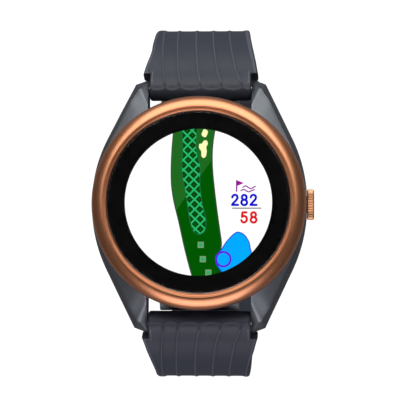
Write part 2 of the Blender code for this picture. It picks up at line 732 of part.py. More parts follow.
def make_lower_strap():
    """The long half at 6 o'clock, with the adjustment holes."""
    strap = strap_band("strap_lower", LOWER_ROUTE, -1, tail=True)
    add_knuckle(strap, "lower", -1)
    total = length_of(LOWER_ROUTE)
    wide, long = HOLE_SIZE
    outline = circle(wide / 2, 0, 180, 6, (0, (long - wide) / 2)) + circle(
        wide / 2, 180, 360, 6, (0, -(long - wide) / 2))
    for number in range(HOLE_COUNT):
        y, z, heading = along(LOWER_ROUTE, total - HOLE_FROM_TIP - number * HOLE_PITCH)
        hole = prism(f"strap_hole_{number + 1}", outline, -4, 4, None, CUTTERS)
        hole.location = (0, -y * MM, z * MM)
        hole.rotation_euler = (heading, 0, 0)
        boolean(strap, hole)


def make_spring_bars():
    """Each bar is a hollow tube with a sprung tip at either end, held in the lugs' blind holes."""
    for side, where in ((1, "upper"), (-1, "lower")):
        place = {"centre": (0, side * BAR_Y, BAR_Z), "along_x": True}
        half = BAR_TUBE_HALF
        tube = [
            (BAR_BORE_RADIUS, -half), (BAR_TUBE_RADIUS, -half),
            (BAR_TUBE_RADIUS, half), (BAR_BORE_RADIUS, half),
        ]
        turned(f"{where}_bar_tube", tube, "steel", COARSE, ring=True, **place)
        for hand, direction in (("right", 1), ("left", -1)):
            tip = [(0, 6.0), (0.5, 6.0), (0.5, 10.2), (0.8, 10.2)]
            tip += [(0.8, 10.5), (0.4, 10.5), (0.4, 12.1), (0, 12.1)]
            turned(f"{where}_bar_tip_{hand}", [(r, direction * x) for r, x in tip], "steel", COARSE, **place)


# ---------------------------------------------------------------- buckle and keepers


def make_buckle():
    """The pin buckle on the short strap's end: frame, pin and tongue. It lies level, pointing to 6 o'clock."""
    y, z, _ = along(UPPER_ROUTE, length_of(UPPER_ROUTE))
    front, inner = -FRAME_LENGTH, FRAME_BAR - FRAME_LENGTH
    outline = [(FRAME_INNER_HALF, FRAME_EAR_RADIUS), (FRAME_INNER_HALF, inner + 0.8)]
    outline += [(FRAME_INNER_HALF - 0.8, inner)]
    outline += [(-px, py) for px, py in reversed(outline)]
    corner = 2.6
    rim = circle(corner, 270, 360, 6, (FRAME_OUTER_HALF - corner, front + corner))
    rim += [(FRAME_OUTER_HALF, FRAME_EAR_RADIUS)]
    outline += [(-px, py) for px, py in reversed(rim)] + rim
    placed = [(px, y + py) for px, py in outline]
    frame = prism("buckle_frame", placed, z - FRAME_HALF_THICKNESS, z + FRAME_HALF_THICKNESS, "copper")
    set_origin(frame, (0, y, z))
    boolean(frame, across("pin_seat", PIN_RADIUS + 0.05, y, z, 11.9, group=CUTTERS))
    rounding = frame.modifiers.new("edges", "BEVEL")
    rounding.width = 0.3 * MM
    rounding.segments = 1
    rounding.limit_method = "ANGLE"
    rounding.angle_limit = math.radians(60)
    across("buckle_pin", PIN_RADIUS, y, z, 11.8, finish="steel")
    make_tongue(y, z)


def make_tongue(y, z):
    """The tongue: an eye on the pin and a bar that rests on the frame's front."""
    low = -FRAME_HALF_THICKNESS - 0.08
    bar = [
        (0.0, -0.85), (-2.0, low + 0.35), (-3.5, low), (-FRAME_LENGTH - 0.3, low),
        (-FRAME_LENGTH - 0.8, low - 0.5), (-FRAME_LENGTH - 0.4, low - 1.0), (-3.0, low - 1.0), (0.0, -1.5),
    ]
    tongue = sideways(
        "buckle_tongue", [(y + py, z + pz) for py, pz in bar], -TONGUE_HALF_WIDTH, TONGUE_HALF_WIDTH, "copper"
    )
    set_origin(tongue, (0, y, z))
    boolean(tongue, across("tongue_eye", 1.55, y, z, TONGUE_HALF_WIDTH + 0.02, group=CUTTERS), "UNION")
    boolean(tongue, across("tongue_bore", PIN_RADIUS + 0.08, y, z, 3, group=CUTTERS))


def make_keeper(name, s):
    """A rubber loop round the short strap, with room for the tail on its outer side.

    Its origin is the centre of the arc that the strap follows there, which is what the free one slides about.
    """
    y, z, heading = along(UPPER_ROUTE, s)
    inside_half = STRAP_WIDTH / 2 + KEEPER_CLEARANCE
    low = -STRAP_THICKNESS / 2 - KEEPER_CLEARANCE
    high = STRAP_THICKNESS / 2 + KEEPER_TAIL_ROOM
    wall = KEEPER_WALL
    outer = rounded_rectangle(inside_half + wall, low - wall, high + wall, 1.4)
    inner = rounded_rectangle(inside_half, low, high, 0.5)
    loop = prism(name, outer, -KEEPER_BAND / 2, KEEPER_BAND / 2, "rubber")
    window = prism(f"{name}_window", inner, -KEEPER_BAND, KEEPER_BAND, None, CUTTERS)
    out = Vector((0, math.sin(heading), math.cos(heading)))
    run = Vector((0, math.cos(heading), -math.sin(heading)))
    place = Matrix((Vector((1, 0, 0)), out, run)).transposed().to_4x4()
    place.translation = Vector((0, y, z)) * MM
    loop.matrix_world = place
    window.matrix_world = place
    arc_centre = Vector((0, y, z)) - out * KEEPER_ARC_RADIUS
    set_origin(loop, arc_centre)
    boolean(loop, window)


def rounded_rectangle(half, low, high, radius):
    """Outline of a rectangle, from low to high in its second axis, with rounded corners."""
    right, left = half - radius, radius - half
    points = circle(radius, 270, 360, 4, (right, low + radius))
    points += circle(radius, 0, 90, 4, (right, high - radius))
    points += circle(radius, 90, 180, 4, (left, high - radius))
    return points + circle(radius, 180, 270, 4, (left, low + radius))


clear_scene()
WATCH = new_collection("golf_gps_watch")
CUTTERS = new_collection("cutters")
FINISHES = make_materials()
make_case()
make_bezel()
make_display()
make_board()
make_battery()
make_motor()
make_crown()
make_switch()
make_back()
make_upper_strap()
make_lower_strap()
make_spring_bars()
make_buckle()
make_keeper("keeper_fixed", FIXED_KEEPER_S)
make_keeper("keeper_free", FREE_KEEPER_S)
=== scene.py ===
"""Golf GPS watch on a pale floor, seen from the dial side.

Lengths in this file are millimetres unless a name says otherwise; MM turns them into Blender's metres.
The frame is the CAD's: the origin is the centre of the back cover's flat face, +Z leaves the dial,
+Y points to 12 o'clock and +X to 3 o'clock. The driving sizes repeat those that the CAD was made with.
"""

import math

import bmesh
import bpy
from mathutils import Matrix, Vector
from mathutils.geometry import delaunay_2d_cdt


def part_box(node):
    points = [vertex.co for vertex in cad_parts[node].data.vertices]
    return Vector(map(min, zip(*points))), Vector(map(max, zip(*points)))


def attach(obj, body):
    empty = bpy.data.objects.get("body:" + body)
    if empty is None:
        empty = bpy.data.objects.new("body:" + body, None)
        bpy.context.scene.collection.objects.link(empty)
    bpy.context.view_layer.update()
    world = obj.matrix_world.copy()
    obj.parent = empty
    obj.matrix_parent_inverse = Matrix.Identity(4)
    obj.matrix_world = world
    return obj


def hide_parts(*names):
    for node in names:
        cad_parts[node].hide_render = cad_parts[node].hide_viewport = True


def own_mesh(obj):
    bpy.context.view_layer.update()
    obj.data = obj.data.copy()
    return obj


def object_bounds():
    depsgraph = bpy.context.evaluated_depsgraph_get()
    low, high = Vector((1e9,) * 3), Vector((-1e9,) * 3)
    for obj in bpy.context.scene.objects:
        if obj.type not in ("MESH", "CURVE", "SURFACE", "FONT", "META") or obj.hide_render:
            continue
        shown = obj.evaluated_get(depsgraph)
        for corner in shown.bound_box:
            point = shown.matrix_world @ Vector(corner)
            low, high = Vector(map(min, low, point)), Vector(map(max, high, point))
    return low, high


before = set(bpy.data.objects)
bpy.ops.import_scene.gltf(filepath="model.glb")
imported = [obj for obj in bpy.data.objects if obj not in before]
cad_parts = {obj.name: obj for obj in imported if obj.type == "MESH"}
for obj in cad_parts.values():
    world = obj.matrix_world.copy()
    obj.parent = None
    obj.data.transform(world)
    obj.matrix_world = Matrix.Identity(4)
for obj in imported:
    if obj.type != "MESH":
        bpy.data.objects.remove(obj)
CAD_LOW, CAD_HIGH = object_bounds()

MM = 0.001
STEPS = 256
CREASE, BEVELLED_CREASE, NODE_CREASE = 32, 40, 35

# Case
CAVITY_RADIUS, LIP_RADIUS = 17.8, 16.6
LIP_LOW, LIP_HIGH = 6.6, 7.1
COLLAR_RADIUS, COLLAR_TOP, SHOULDER_TOP = 20.9, 10.5, 9.15
CASE_UNDERSIDE, RECESS_RADIUS, RECESS_TOP = 0.4, 19.05, 1.75
CASE_HALF_WIDTH, SIDE_ARC_RADIUS, LUG_SIDE_SLOPE = 22.75, 32.5, 0.5
LUG_CORNER, LUG_TIP_Y, LUG_TIP_TOP, LUG_GAP = (13.9, 26.0), 27.1, 5.0, 22.0
BLOCK_HALF_WIDTH, BLOCK_Y, GAP_WALL_RADIUS = 8.3, 22.2, 21.05
BOSS_CIRCLE, BOSS_RADIUS, BOSS_LOW, BOSS_HIGH = 16.2, 1.8, 1.9, 4.9
SCREW_ANGLES, SCREW_HEAD, THREAD_PITCH = (45, 135, 225, 315), 0.9, 0.28
BAR_Y, BAR_Z = 25.0, 3.4
CROWN_Z, CROWN_TRAVEL = 4.9, 0.35
SPRING_WIRE, SPRING_TURNS = 0.13, 3.5

# Straps: heading at the bar, then legs as (length, radius), straight where None
NECK_LENGTH = 3.3
UPPER_ROUTE = (26.0, ((NECK_LENGTH, None), (18.5, 20.6), (51.2, 33.0)))
LOWER_ROUTE = (36.0, ((NECK_LENGTH, None), (14.5, 17.1), (97.2, 70.0)))
NECK_WIDTH, STRAP_WIDTH_AT_LUGS, STRAP_WIDTH = 21.6, 24.6, 20.0
NECK_THICKNESS, STRAP_THICKNESS, THINNING_END = 3.8, 2.6, 18.0
UPPER_TAPER_END, LOWER_TAPER_END, TAPER_POWER = 24.0, 16.5, 1.8
TAIL_ROUND, TAIL_FULLNESS = 8.5, 0.92
KNUCKLE_RADIUS, KNUCKLE_BORE = 2.6, 1.0
BUCKLE_KNUCKLE_RADIUS, PIN_RADIUS = 1.8, 0.75
HOLE_COUNT, HOLE_PITCH, HOLE_FROM_TIP, HOLE_SIZE = 8, 6.5, 14.0, (2.2, 3.2)
EDGE_RADIUS = 0.6
SHOULDER_SLIP = -0.65

# Flutes: where each ridge line crosses the bar, how deep the valleys between them are, and their ends
RIDGES = (-10.9, -7.45, -4.34, 0.24, 4.73, 9.07, 13.5)
RIDGE_LEAN, RIDGE_LEAN_PIVOT, RIDGE_DRIFT, RIDGE_REACH = 0.2, -3.2, 1.4, 9.0
FLUTE_DEPTH, FLUTE_POWER = 0.2, 6.0
FLUTE_START, FLUTE_SCALLOP, FLUTE_RAMP = -1.9, 0.6, 0.5

# The left edge's swell near the horizon and its waist past the upper lugs: sizes, then rise and fall along s
SWELL_UPPER, SWELL_LOWER, SWELL_RISE, SWELL_FALL = 0.42, 0.22, (11.0, 20.0), (27.0, 37.0)
WAIST, WAIST_RISE, WAIST_FALL = 0.3, (4.0, 8.0), (9.0, 13.0)
UPPER_FLUTES_END, LOWER_FLUTES_END = 66.0, 103.0 - HOLE_COUNT * 6.6
FIXED_KEEPER_S, FREE_KEEPER_S = 64.0, 56.5

# Display: height of the picture, its shift towards 12 o'clock, and the lattice's pitch, first point and lean
PICTURE_LEVEL, PICTURE_SHIFT = 10.47, 0.12
LATTICE_PITCH, LATTICE_X, LATTICE_Y, LATTICE_LEAN = 2.07, -2.28, 11.86, 0.038
DIGIT_HEIGHT, DIGIT_PITCH = 2.16, 1.93

# Studio: emission strengths, light and surroundings colours, and the camera
DISPLAY_GLOW, FLOOR_GLOW = 1.12, 0.95
WARM, COOL, SURROUNDINGS = (1.0, 0.985, 0.96), (1.0, 0.95, 1.0), (0.085, 0.085, 0.092, 1)
LIGHT_TARGET = (0, 0, 5)
CAMERA_TARGET, CAMERA_BACK, CAMERA_DISTANCE = (0.29, 0.56, 9.8), (22.0, -38.0, 420.0), 419.0


# ---------------------------------------------------------------- mesh tools


def ease(value, low, high):
    """Smooth step from 0 at low to 1 at high."""
    share = min(1.0, max(0.0, (value - low) / (high - low)))
    return share * share * (3 - 2 * share)


def new_object(name, points, faces, materials=(), indices=None, crease=CREASE):
    """Make a mesh object from points in millimetres, smooth apart from its sharp edges."""
    mesh = bpy.data.meshes.new(name)
    mesh.from_pydata([(x * MM, y * MM, z * MM) for x, y, z in points], [], faces)
    made = bpy.data.objects.new(name, mesh)
    bpy.context.scene.collection.objects.link(made)
    for item in materials:
        mesh.materials.append(item)
    if indices:
        mesh.polygons.foreach_set("material_index", indices)
    tidy(made, crease)
    return made


def tidy(made, crease=CREASE):
    """Make the faces look outwards and smooth the shading up to an angle."""
    work = bmesh.new()
    work.from_mesh(made.data)
    bmesh.ops.recalc_face_normals(work, faces=work.faces)
    if work.calc_volume(signed=True) < 0:
        bmesh.ops.reverse_faces(work, faces=work.faces)
    work.to_mesh(made.data)
    work.free()
    made.data.shade_smooth()
    made.data.set_sharp_from_angle(angle=math.radians(crease))


def grid_faces(rows, columns, wrap_rows=False, wrap_columns=True):
    """Quads between neighbouring rows of points."""
    faces = []
    for row in range(rows if wrap_rows else rows - 1):
        below, above = row * columns, (row + 1) % rows * columns
        for col in range(columns if wrap_columns else columns - 1):
            after = (col + 1) % columns
            faces.append((below + col, below + after, above + after, above + col))
    return faces


def loft(name, rings, material, wrap=False, crease=CREASE):
    """Skin closed rings of points, with flat ends unless the rings close on themselves."""
    count = len(rings[0])
    faces = grid_faces(len(rings), count, wrap_rows=wrap)
    if not wrap:
        last = (len(rings) - 1) * count
        faces += [tuple(reversed(range(count))), tuple(range(last, last + count))]
    return new_object(name, [p for ring in rings for p in ring], faces, [material], crease=crease)


def revolve(name, profile, material, steps=STEPS, centre=(0, 0), closed=True, crease=CREASE):
    """Turn (radius, height) points about an upright axis; the profile is a ring, or runs from pole to pole."""
    poles = [] if closed else [profile[0], profile[-1]]
    middle = profile if closed else profile[1:-1]
    points = []
    for step in range(steps):
        angle = math.tau * step / steps
        for radius, height in middle:
            points.append((radius * math.cos(angle), radius * math.sin(angle), height))
    faces = grid_faces(steps, len(middle), wrap_rows=True, wrap_columns=closed)
    for which, (_, height) in enumerate(poles):
        tip = len(points)
        points.append((0, 0, height))
        column = which * (len(middle) - 1)
        for step in range(steps):
            after = (step + 1) % steps
            faces.append((tip, step * len(middle) + column, after * len(middle) + column))
    cx, cy = centre
    return new_object(name, [(x + cx, y + cy, z) for x, y, z in points], faces, [material], crease=crease)


def prism(name, outline, low, high, material, place=None):
    """Extrude an outline in x and y from low to high, then move it with a matrix in millimetres."""
    rings = [[(x, y, z) for x, y in outline] for z in (low, high)]
    if place:
        rings = [[tuple(place @ Vector(p)) for p in ring] for ring in rings]
    return loft(name, rings, material)


def rod(name, radius, start, end, sides=48):
    """A cutter: a round bar from start to end."""
    axis = Vector(end) - Vector(start)
    turn = axis.to_track_quat("Z", "Y").to_matrix().to_4x4()
    turn.translation = Vector(start)
    return prism(name, circle(radius, 0, 360, sides)[:-1], 0, axis.length, None, turn)


def circle(radius, first, last, steps, centre=(0, 0)):
    """Points on an arc, both ends included, in degrees."""
    angles = [math.radians(first + (last - first) * i / steps) for i in range(steps + 1)]
    return [(centre[0] + radius * math.cos(a), centre[1] + radius * math.sin(a)) for a in angles]


def bake(made, crease=CREASE):
    """Apply an object's modifiers."""
    graph = bpy.context.evaluated_depsgraph_get()
    mesh = bpy.data.meshes.new_from_object(made.evaluated_get(graph))
    made.modifiers.clear()
    made.data = mesh
    tidy(made, crease)


def boolean(made, cutters, kind="DIFFERENCE"):
    """Cut with, or add, a list of separate closed solids."""
    for cutter in cutters:
        change = made.modifiers.new("boolean", "BOOLEAN")
        change.operation, change.object, change.solver = kind, cutter, "EXACT"
    bake(made)
    for cutter in cutters:
        bpy.data.objects.remove(cutter)


def bevel(made, width, segments, angle, crease=BEVELLED_CREASE):
    """Round the edges that are sharper than an angle in degrees."""
    change = made.modifiers.new("bevel", "BEVEL")
    change.width, change.segments = width * MM, segments
    change.limit_method, change.angle_limit = "ANGLE", math.radians(angle)
    bake(made, crease)


def finish_piece(made, body, slot, *nodes):
    """Ride on a body and stand for CAD nodes, which it hides; the slot is not used."""
    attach(made, body)
    if nodes:
        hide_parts(*nodes)
    return made


# ---------------------------------------------------------------- materials


def srgb(red, green, blue):
    """An 8-bit display colour as the linear RGBA that a shader takes."""
    def channel(value):
        value /= 255
        return value / 12.92 if value <= 0.04045 else ((value + 0.055) / 1.055) ** 2.4
    return channel(red), channel(green), channel(blue), 1.0


class Surface:
    """A Principled material that is built up node by node."""

    def __init__(self, name, colour, roughness, metallic=0.0, **sockets):
        self.made = bpy.data.materials.new(name)
        self.made.use_nodes = True
        self.tree = self.made.node_tree
        self.shader = self.tree.nodes["Principled BSDF"]
        self.colour, self.rough = srgb(*colour), roughness
        self.put(self.shader, {"Base Color": self.colour, "Roughness": roughness, "Metallic": metallic})
        self.put(self.shader, sockets)
        self.where = self.tree.nodes.new("ShaderNodeTexCoord").outputs["Object"]

    def put(self, node, sockets):
        for name, value in sockets.items():
            node.inputs[name].default_value = value

    def link(self, start, end):
        self.tree.links.new(start, end)

    def noise(self, size, detail=3.0, stretch=None):
        """Noise with features of about this size in millimetres."""
        made = self.tree.nodes.new("ShaderNodeTexNoise")
        self.put(made, {"Scale": 1 / (size * MM), "Detail": detail})
        source = self.where
        if stretch:
            mapping = self.tree.nodes.new("ShaderNodeMapping")
            mapping.inputs["Scale"].default_value = stretch
            self.link(source, mapping.inputs["Vector"])
            source = mapping.outputs["Vector"]
        self.link(source, made.inputs["Vector"])
        return made.outputs["Fac"]

    def spread(self, factor, low, high):
        """Turn a noise's middle range into numbers from low to high."""
        made = self.tree.nodes.new("ShaderNodeMapRange")
        self.put(made, {"From Min": 0.3, "From Max": 0.7, "To Min": low, "To Max": high})
        self.link(factor, made.inputs["Value"])
        return made.outputs["Result"]

    def vary_colour(self, factor, other):
        """Blend the base colour towards another by a factor."""
        made = self.tree.nodes.new("ShaderNodeMix")
        made.data_type = "RGBA"
        made.inputs["A"].default_value = self.colour
        made.inputs["B"].default_value = srgb(*other)
        self.link(self.spread(factor, 0.0, 1.0), made.inputs["Factor"])
        self.link(made.outputs["Result"], self.shader.inputs["Base Color"])

    def vary_roughness(self, factor, amount):
        """Move the roughness up and down by an amount."""
        spread = self.spread(factor, self.rough - amount, self.rough + amount)
        self.link(spread, self.shader.inputs["Roughness"])

    def bump(self, factor, height):
        """Relief of a height in millimetres."""
        made = self.tree.nodes.new("ShaderNodeBump")
        self.put(made, {"Distance": height * MM, "Strength": 1.0})
        self.link(factor, made.inputs["Height"])
        self.link(made.outputs["Normal"], self.shader.inputs["Normal"])


def grained(name, colour, other, roughness, grain, relief, metallic=0.0, stretch=None, patch=4.0, **sockets):
    """The usual finish: slow colour drift, a grain in the roughness, and relief at the grain's size."""
    made = Surface(name, colour, roughness, metallic, **sockets)
    made.vary_colour(made.noise(patch, 4.0), other)
    fine = made.noise(grain, 2.0, stretch)
    made.vary_roughness(fine, min(0.08, roughness * 0.3))
    if relief:
        made.bump(fine, relief)
    return made.made


CASE_PLASTIC = grained("case_plastic", (116, 121, 126), (109, 114, 121), 0.4, 0.09, 0.0008, 0.85, patch=7.0)
RUBBER = grained("strap_rubber", (57, 62, 75), (53, 58, 71), 0.54, 0.12, 0.003, patch=6.0)
# Lighter rubber for the strap's ridge lines: partly wear, partly a painted highlight of the light that the
# ridge tops catch.
RIDGE = grained("strap_ridge_wear_and_highlight", (92, 97, 110), (86, 91, 104), 0.44, 0.12, 0.002, patch=2.0)
ROSE_GOLD = grained("rose_gold", (238, 160, 113), (231, 151, 104), 0.36, 0.1, 0.0008, 1.0, patch=9.0,
                    **{"Coat Weight": 0.8, "Coat Roughness": 0.28})
CROWN_GOLD = grained("crown_gold", (246, 190, 146), (236, 178, 132), 0.46, 0.12, 0.001, 1.0, patch=1.5)
STEEL = grained("steel", (196, 197, 199), (180, 181, 184), 0.3, 0.15, 0.002, 1.0, patch=1.0)
BRUSHED = grained("brushed_sheet", (188, 190, 192), (172, 174, 177), 0.34, 0.12, 0.003, 1.0, (1.0, 0.08, 1.0))
GOLD = grained("contact_gold", (230, 190, 110), (214, 170, 92), 0.24, 0.1, 0.0015, 1.0, patch=0.8)
BACK_PLASTIC = grained("back_plastic", (46, 46, 51), (38, 38, 43), 0.5, 0.22, 0.006, patch=8.0)
CHIP = grained("chip_plastic", (30, 30, 33), (22, 22, 25), 0.5, 0.12, 0.003, patch=2.0)
SEAL = grained("seal_rubber", (30, 30, 32), (24, 24, 26), 0.6, 0.2, 0.003, patch=2.0)
FOIL = grained("pouch_foil", (198, 200, 204), (182, 185, 190), 0.32, 0.9, 0.03, 0.8, patch=3.0)
FLEX = grained("flex_film", (184, 112, 41), (164, 96, 32), 0.3, 0.5, 0.004, patch=1.5)
DIFFUSER = grained("light_guide", (230, 230, 225), (220, 221, 218), 0.35, 0.6, 0.004)
RED_WIRE = grained("red_wire", (176, 24, 24), (156, 18, 20), 0.35, 0.3, 0.004, patch=1.2)
BLACK_WIRE = grained("black_wire", (20, 20, 22), (28, 28, 30), 0.35, 0.3, 0.004, patch=1.2)
INK = grained("black_ink", (9, 7, 9), (12, 10, 12), 0.55, 0.4, 0.0, patch=5.0, **{"Specular IOR Level": 0.1})


def make_board_finish():
    """Green solder mask over faint copper tracks."""
    made = Surface("solder_mask", (22, 84, 50), 0.33)
    tracks = made.tree.nodes.new("ShaderNodeTexBrick")
    made.put(tracks, {"Scale": 1 / MM, "Mortar Size": 0.06, "Brick Width": 1.7, "Row Height": 0.55})
    tracks.inputs["Color1"].default_value = srgb(22, 84, 50)
    tracks.inputs["Color2"].default_value = srgb(26, 92, 55)
    tracks.inputs["Mortar"].default_value = srgb(48, 118, 76)
    made.link(made.where, tracks.inputs["Vector"])
    made.link(tracks.outputs["Color"], made.shader.inputs["Base Color"])
    made.vary_roughness(made.noise(0.4), 0.06)
    made.bump(made.noise(0.3), 0.004)
    return made.made


def make_glass(name, ior):
    """Clear glass or film, with the faintest unevenness in its polish."""
    made = Surface(name, (255, 255, 255), 0.0, **{"Transmission Weight": 1.0, "IOR": ior})
    made.bump(made.noise(6.0, 1.0), 0.00004)
    return made.made


def make_lit(name, colour):
    """One colour of the lit display, with the slight unevenness of a backlight."""
    made = Surface(name, (4, 4, 4), 0.4, **{"Specular IOR Level": 0.0})
    full = srgb(*colour)
    lit = made.tree.nodes.new("ShaderNodeMix")
    lit.data_type = "RGBA"
    lit.inputs["A"].default_value = full
    lit.inputs["B"].default_value = tuple(0.97 * c for c in full[:3]) + (1.0,)
    made.link(made.noise(9.0, 1.0), lit.inputs["Factor"])
    made.link(lit.outputs["Result"], made.shader.inputs["Emission Color"])
    made.shader.inputs["Emission Strength"].default_value = DISPLAY_GLOW
    return made.made


BOARD = make_board_finish()
GLASS = make_glass("lens_glass", 1.42)
FILM = make_glass("touch_film", 1.06)


# ---------------------------------------------------------------- case


def case_outline():
    """The case's outline, anticlockwise from 3 o'clock: side arcs, lug sides and blunt lug tips."""
    lean = math.degrees(math.atan(LUG_SIDE_SLOPE))
    arc = circle(SIDE_ARC_RADIUS, 0, lean, 20, (CASE_HALF_WIDTH - SIDE_ARC_RADIUS, 0))
    start, corner = Vector(arc[-1]), Vector(LUG_CORNER)
    side = [tuple(start.lerp(corner, i / 24)) for i in range(1, 25)]
    tip = Vector((LUG_GAP / 2, LUG_TIP_Y))
    blunt = [tuple(corner.lerp(tip, i / 6)) for i in range(1, 7)]
    bridge = [(tip.x * (1 - i / 6), LUG_TIP_Y) for i in range(1, 7)]
    quadrant = arc + side + blunt + bridge
    upper = quadrant + [(-x, y) for x, y in reversed(quadrant[:-1])]
    return upper + [(x, -y) for x, y in reversed(upper[1:-1])]


def ridge_height(y):
    """Height of the lug's ridge line, level beside the dial and falling to the tip."""
    share = max(0.0, (abs(y) - 7.0) / (LUG_TIP_Y - 7.0))
    return SHOULDER_TOP - (SHOULDER_TOP - LUG_TIP_TOP) * min(1.0, share) ** 1.35


def case_section(x, y):
    """The shell's closed section at one outline point."""
    reach = math.hypot(x, y)
    ux, uy = x / reach, y / reach
    top = ridge_height(y)
    under = CASE_UNDERSIDE + 0.6 * ease(abs(y), 14.0, LUG_TIP_Y)
    edge = 0.25 + 0.8 * ease(abs(y), 3.0, 12.0) + 0.5 * ease(abs(y), 22.0, 26.0)
    drop = 2.1 + 0.3 * ease(abs(y), 20.0, 26.0)
    belly = min(under + 2.6, top - drop - 0.2)
    ridge = reach - edge
    facet = []
    for step in range(7):
        share = step / 6
        radius = COLLAR_RADIUS + (ridge - COLLAR_RADIUS) * share
        facet.append((radius, SHOULDER_TOP - (SHOULDER_TOP - top) * share**1.08))
    section = [(CAVITY_RADIUS, COLLAR_TOP), (COLLAR_RADIUS, COLLAR_TOP)] + facet + [
        (reach, top - drop), (reach, belly), (reach - 0.45, (under + belly) / 2), (reach - 1.8, under),
        (RECESS_RADIUS, CASE_UNDERSIDE), (RECESS_RADIUS, RECESS_TOP), (CAVITY_RADIUS, RECESS_TOP),
        (CAVITY_RADIUS, LIP_LOW), (LIP_RADIUS, LIP_LOW), (LIP_RADIUS, LIP_HIGH), (CAVITY_RADIUS, LIP_HIGH),
    ]
    return [(r * ux, r * uy, z) for r, z in section]


def gap_cutter(side):
    """The space between two lugs, round beside the wall block and flat in front of it."""
    half = LUG_GAP / 2
    corner = math.degrees(math.acos(half / GAP_WALL_RADIUS))
    block = math.degrees(math.acos(BLOCK_HALF_WIDTH / GAP_WALL_RADIUS))
    right = circle(GAP_WALL_RADIUS, corner, block, 8) + [(BLOCK_HALF_WIDTH, BLOCK_Y)]
    outline = right + [(-x, y) for x, y in reversed(right)] + [(-half, 31.0), (half, 31.0)]
    return prism("gap", [(x, side * y) for x, y in outline], -2, 12, None)


def lug_facet_cutter(x_side, y_side):
    """A wedge that takes the steep inner facet off a lug's tip."""
    start = Vector((LUG_GAP / 2, 20.8, 7.9))
    outer = Vector((13.0, 25.0, 5.4))
    inner = Vector((LUG_GAP / 2, LUG_TIP_Y, 2.5))
    run = (outer - start).normalized()
    normal = run.cross(inner - start).normalized()
    if normal.z < 0:
        normal.negate()
    across = normal.cross(run)
    corners = [start + run * a + across * b for a, b in ((-3, -9), (9, -9), (9, 9), (-3, 9))]
    rings = [[p + normal * lift for p in corners] for lift in (0, 5)]
    rings = [[(x_side * p.x, y_side * p.y, p.z) for p in ring] for ring in rings]
    return loft("lug_facet", rings, None)


def make_case():
    """The one-piece plastic case with its lugs, screw bosses and holes."""
    case = loft("case_shell", [case_section(x, y) for x, y in case_outline()], CASE_PLASTIC, wrap=True)
    spots = [(BOSS_CIRCLE * math.cos(math.radians(a)), BOSS_CIRCLE * math.sin(math.radians(a)))
             for a in SCREW_ANGLES]
    boolean(case, [rod("boss", BOSS_RADIUS, (x, y, BOSS_LOW), (x, y, BOSS_HIGH)) for x, y in spots], "UNION")
    cutters = [gap_cutter(1), gap_cutter(-1)]
    cutters += [rod("pilot", 0.7, (x, y, 0), (x, y, BOSS_HIGH - 0.3), 24) for x, y in spots]
    cutters += [rod("tip_holes", 0.5, (-12.7, side * BAR_Y, BAR_Z), (12.7, side * BAR_Y, BAR_Z), 24)
                for side in (1, -1)]
    cutters += [rod("crown_seat", radius, (start, 0, CROWN_Z), (24, 0, CROWN_Z), 96)
                for radius, start in ((1.55, 16), (2.55, 21.7), (3.5, 22.2))]
    cutters += [lug_facet_cutter(a, b) for a in (1, -1) for b in (1, -1)]
    boolean(case, cutters)
    bevel(case, 0.13, 2, 24)
    return finish_piece(case, "watch_head", "case_plastic", "mid_case")


# ---------------------------------------------------------------- bezel, glass and display


def smooth_curve(points, steps=6, closed=False):
    """A Catmull-Rom curve through points."""
    count, made = len(points), []
    for i in range(count if closed else count - 1):
        a, b, c, d = (points[j % count] if closed else points[min(max(j, 0), count - 1)]
                      for j in (i - 1, i, i + 1, i + 2))
        for step in range(steps):
            t = step / steps
            made.append(tuple(
                0.5 * (2 * q + (r - p) * t + (2 * p - 5 * q + 4 * r - s) * t * t
                       + (3 * q - p - 3 * r + s) * t**3)
                for p, q, r, s in zip(a, b, c, d)))
    return made if closed else made + [tuple(points[-1])]


def make_bezel():
    """The domed ring, with a crisp lower lip and two fine steps beside the glass."""
    dome = smooth_curve([(22.5, 10.2), (22.42, 10.72), (22.22, 11.22), (21.93, 11.65), (21.56, 12.02),
                         (21.15, 12.32), (20.75, 12.52), (20.35, 12.65), (19.98, 12.7)], 4)
    steps = [(19.9, 12.67), (19.87, 12.6), (19.62, 12.6), (19.56, 12.57), (19.52, 12.47), (19.34, 12.47),
             (19.28, 12.43), (19.22, 12.34), (19.2, 12.22), (19.2, 10.62), (19.24, 10.58), (21.11, 10.58),
             (21.15, 10.54), (21.15, 9.39), (21.19, 9.35)]
    lip = [(22.2, 9.35), (22.3, 9.37), (22.38, 9.43), (22.42, 9.52), (22.44, 9.66), (22.5, 9.74)]
    made = revolve("bezel_ring", dome + steps + lip, ROSE_GOLD, 360, crease=28)
    return finish_piece(made, "watch_head", "copper", "bezel")


def make_lens():
    """The cover glass with a polished chamfer, over its printed black border."""
    glass = [(0, 12.15), (10.0, 12.15), (18.66, 12.15), (18.74, 12.15), (18.88, 12.11), (18.99, 12.02),
             (19.06, 11.9), (19.1, 11.74), (19.1, 10.86), (19.04, 10.8), (18.96, 10.8), (10.0, 10.8), (0, 10.8)]
    made = revolve("lens_glass", glass, GLASS, closed=False)
    finish_piece(made, "watch_head", "glass", "lens")
    low, high = (corner.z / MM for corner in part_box("lens_mask"))
    ring = [(15.42, low), (19.0, low), (19.0, high), (15.4, high)]
    finish_piece(revolve("lens_border", ring, INK), "watch_head", "ink", "lens_mask")


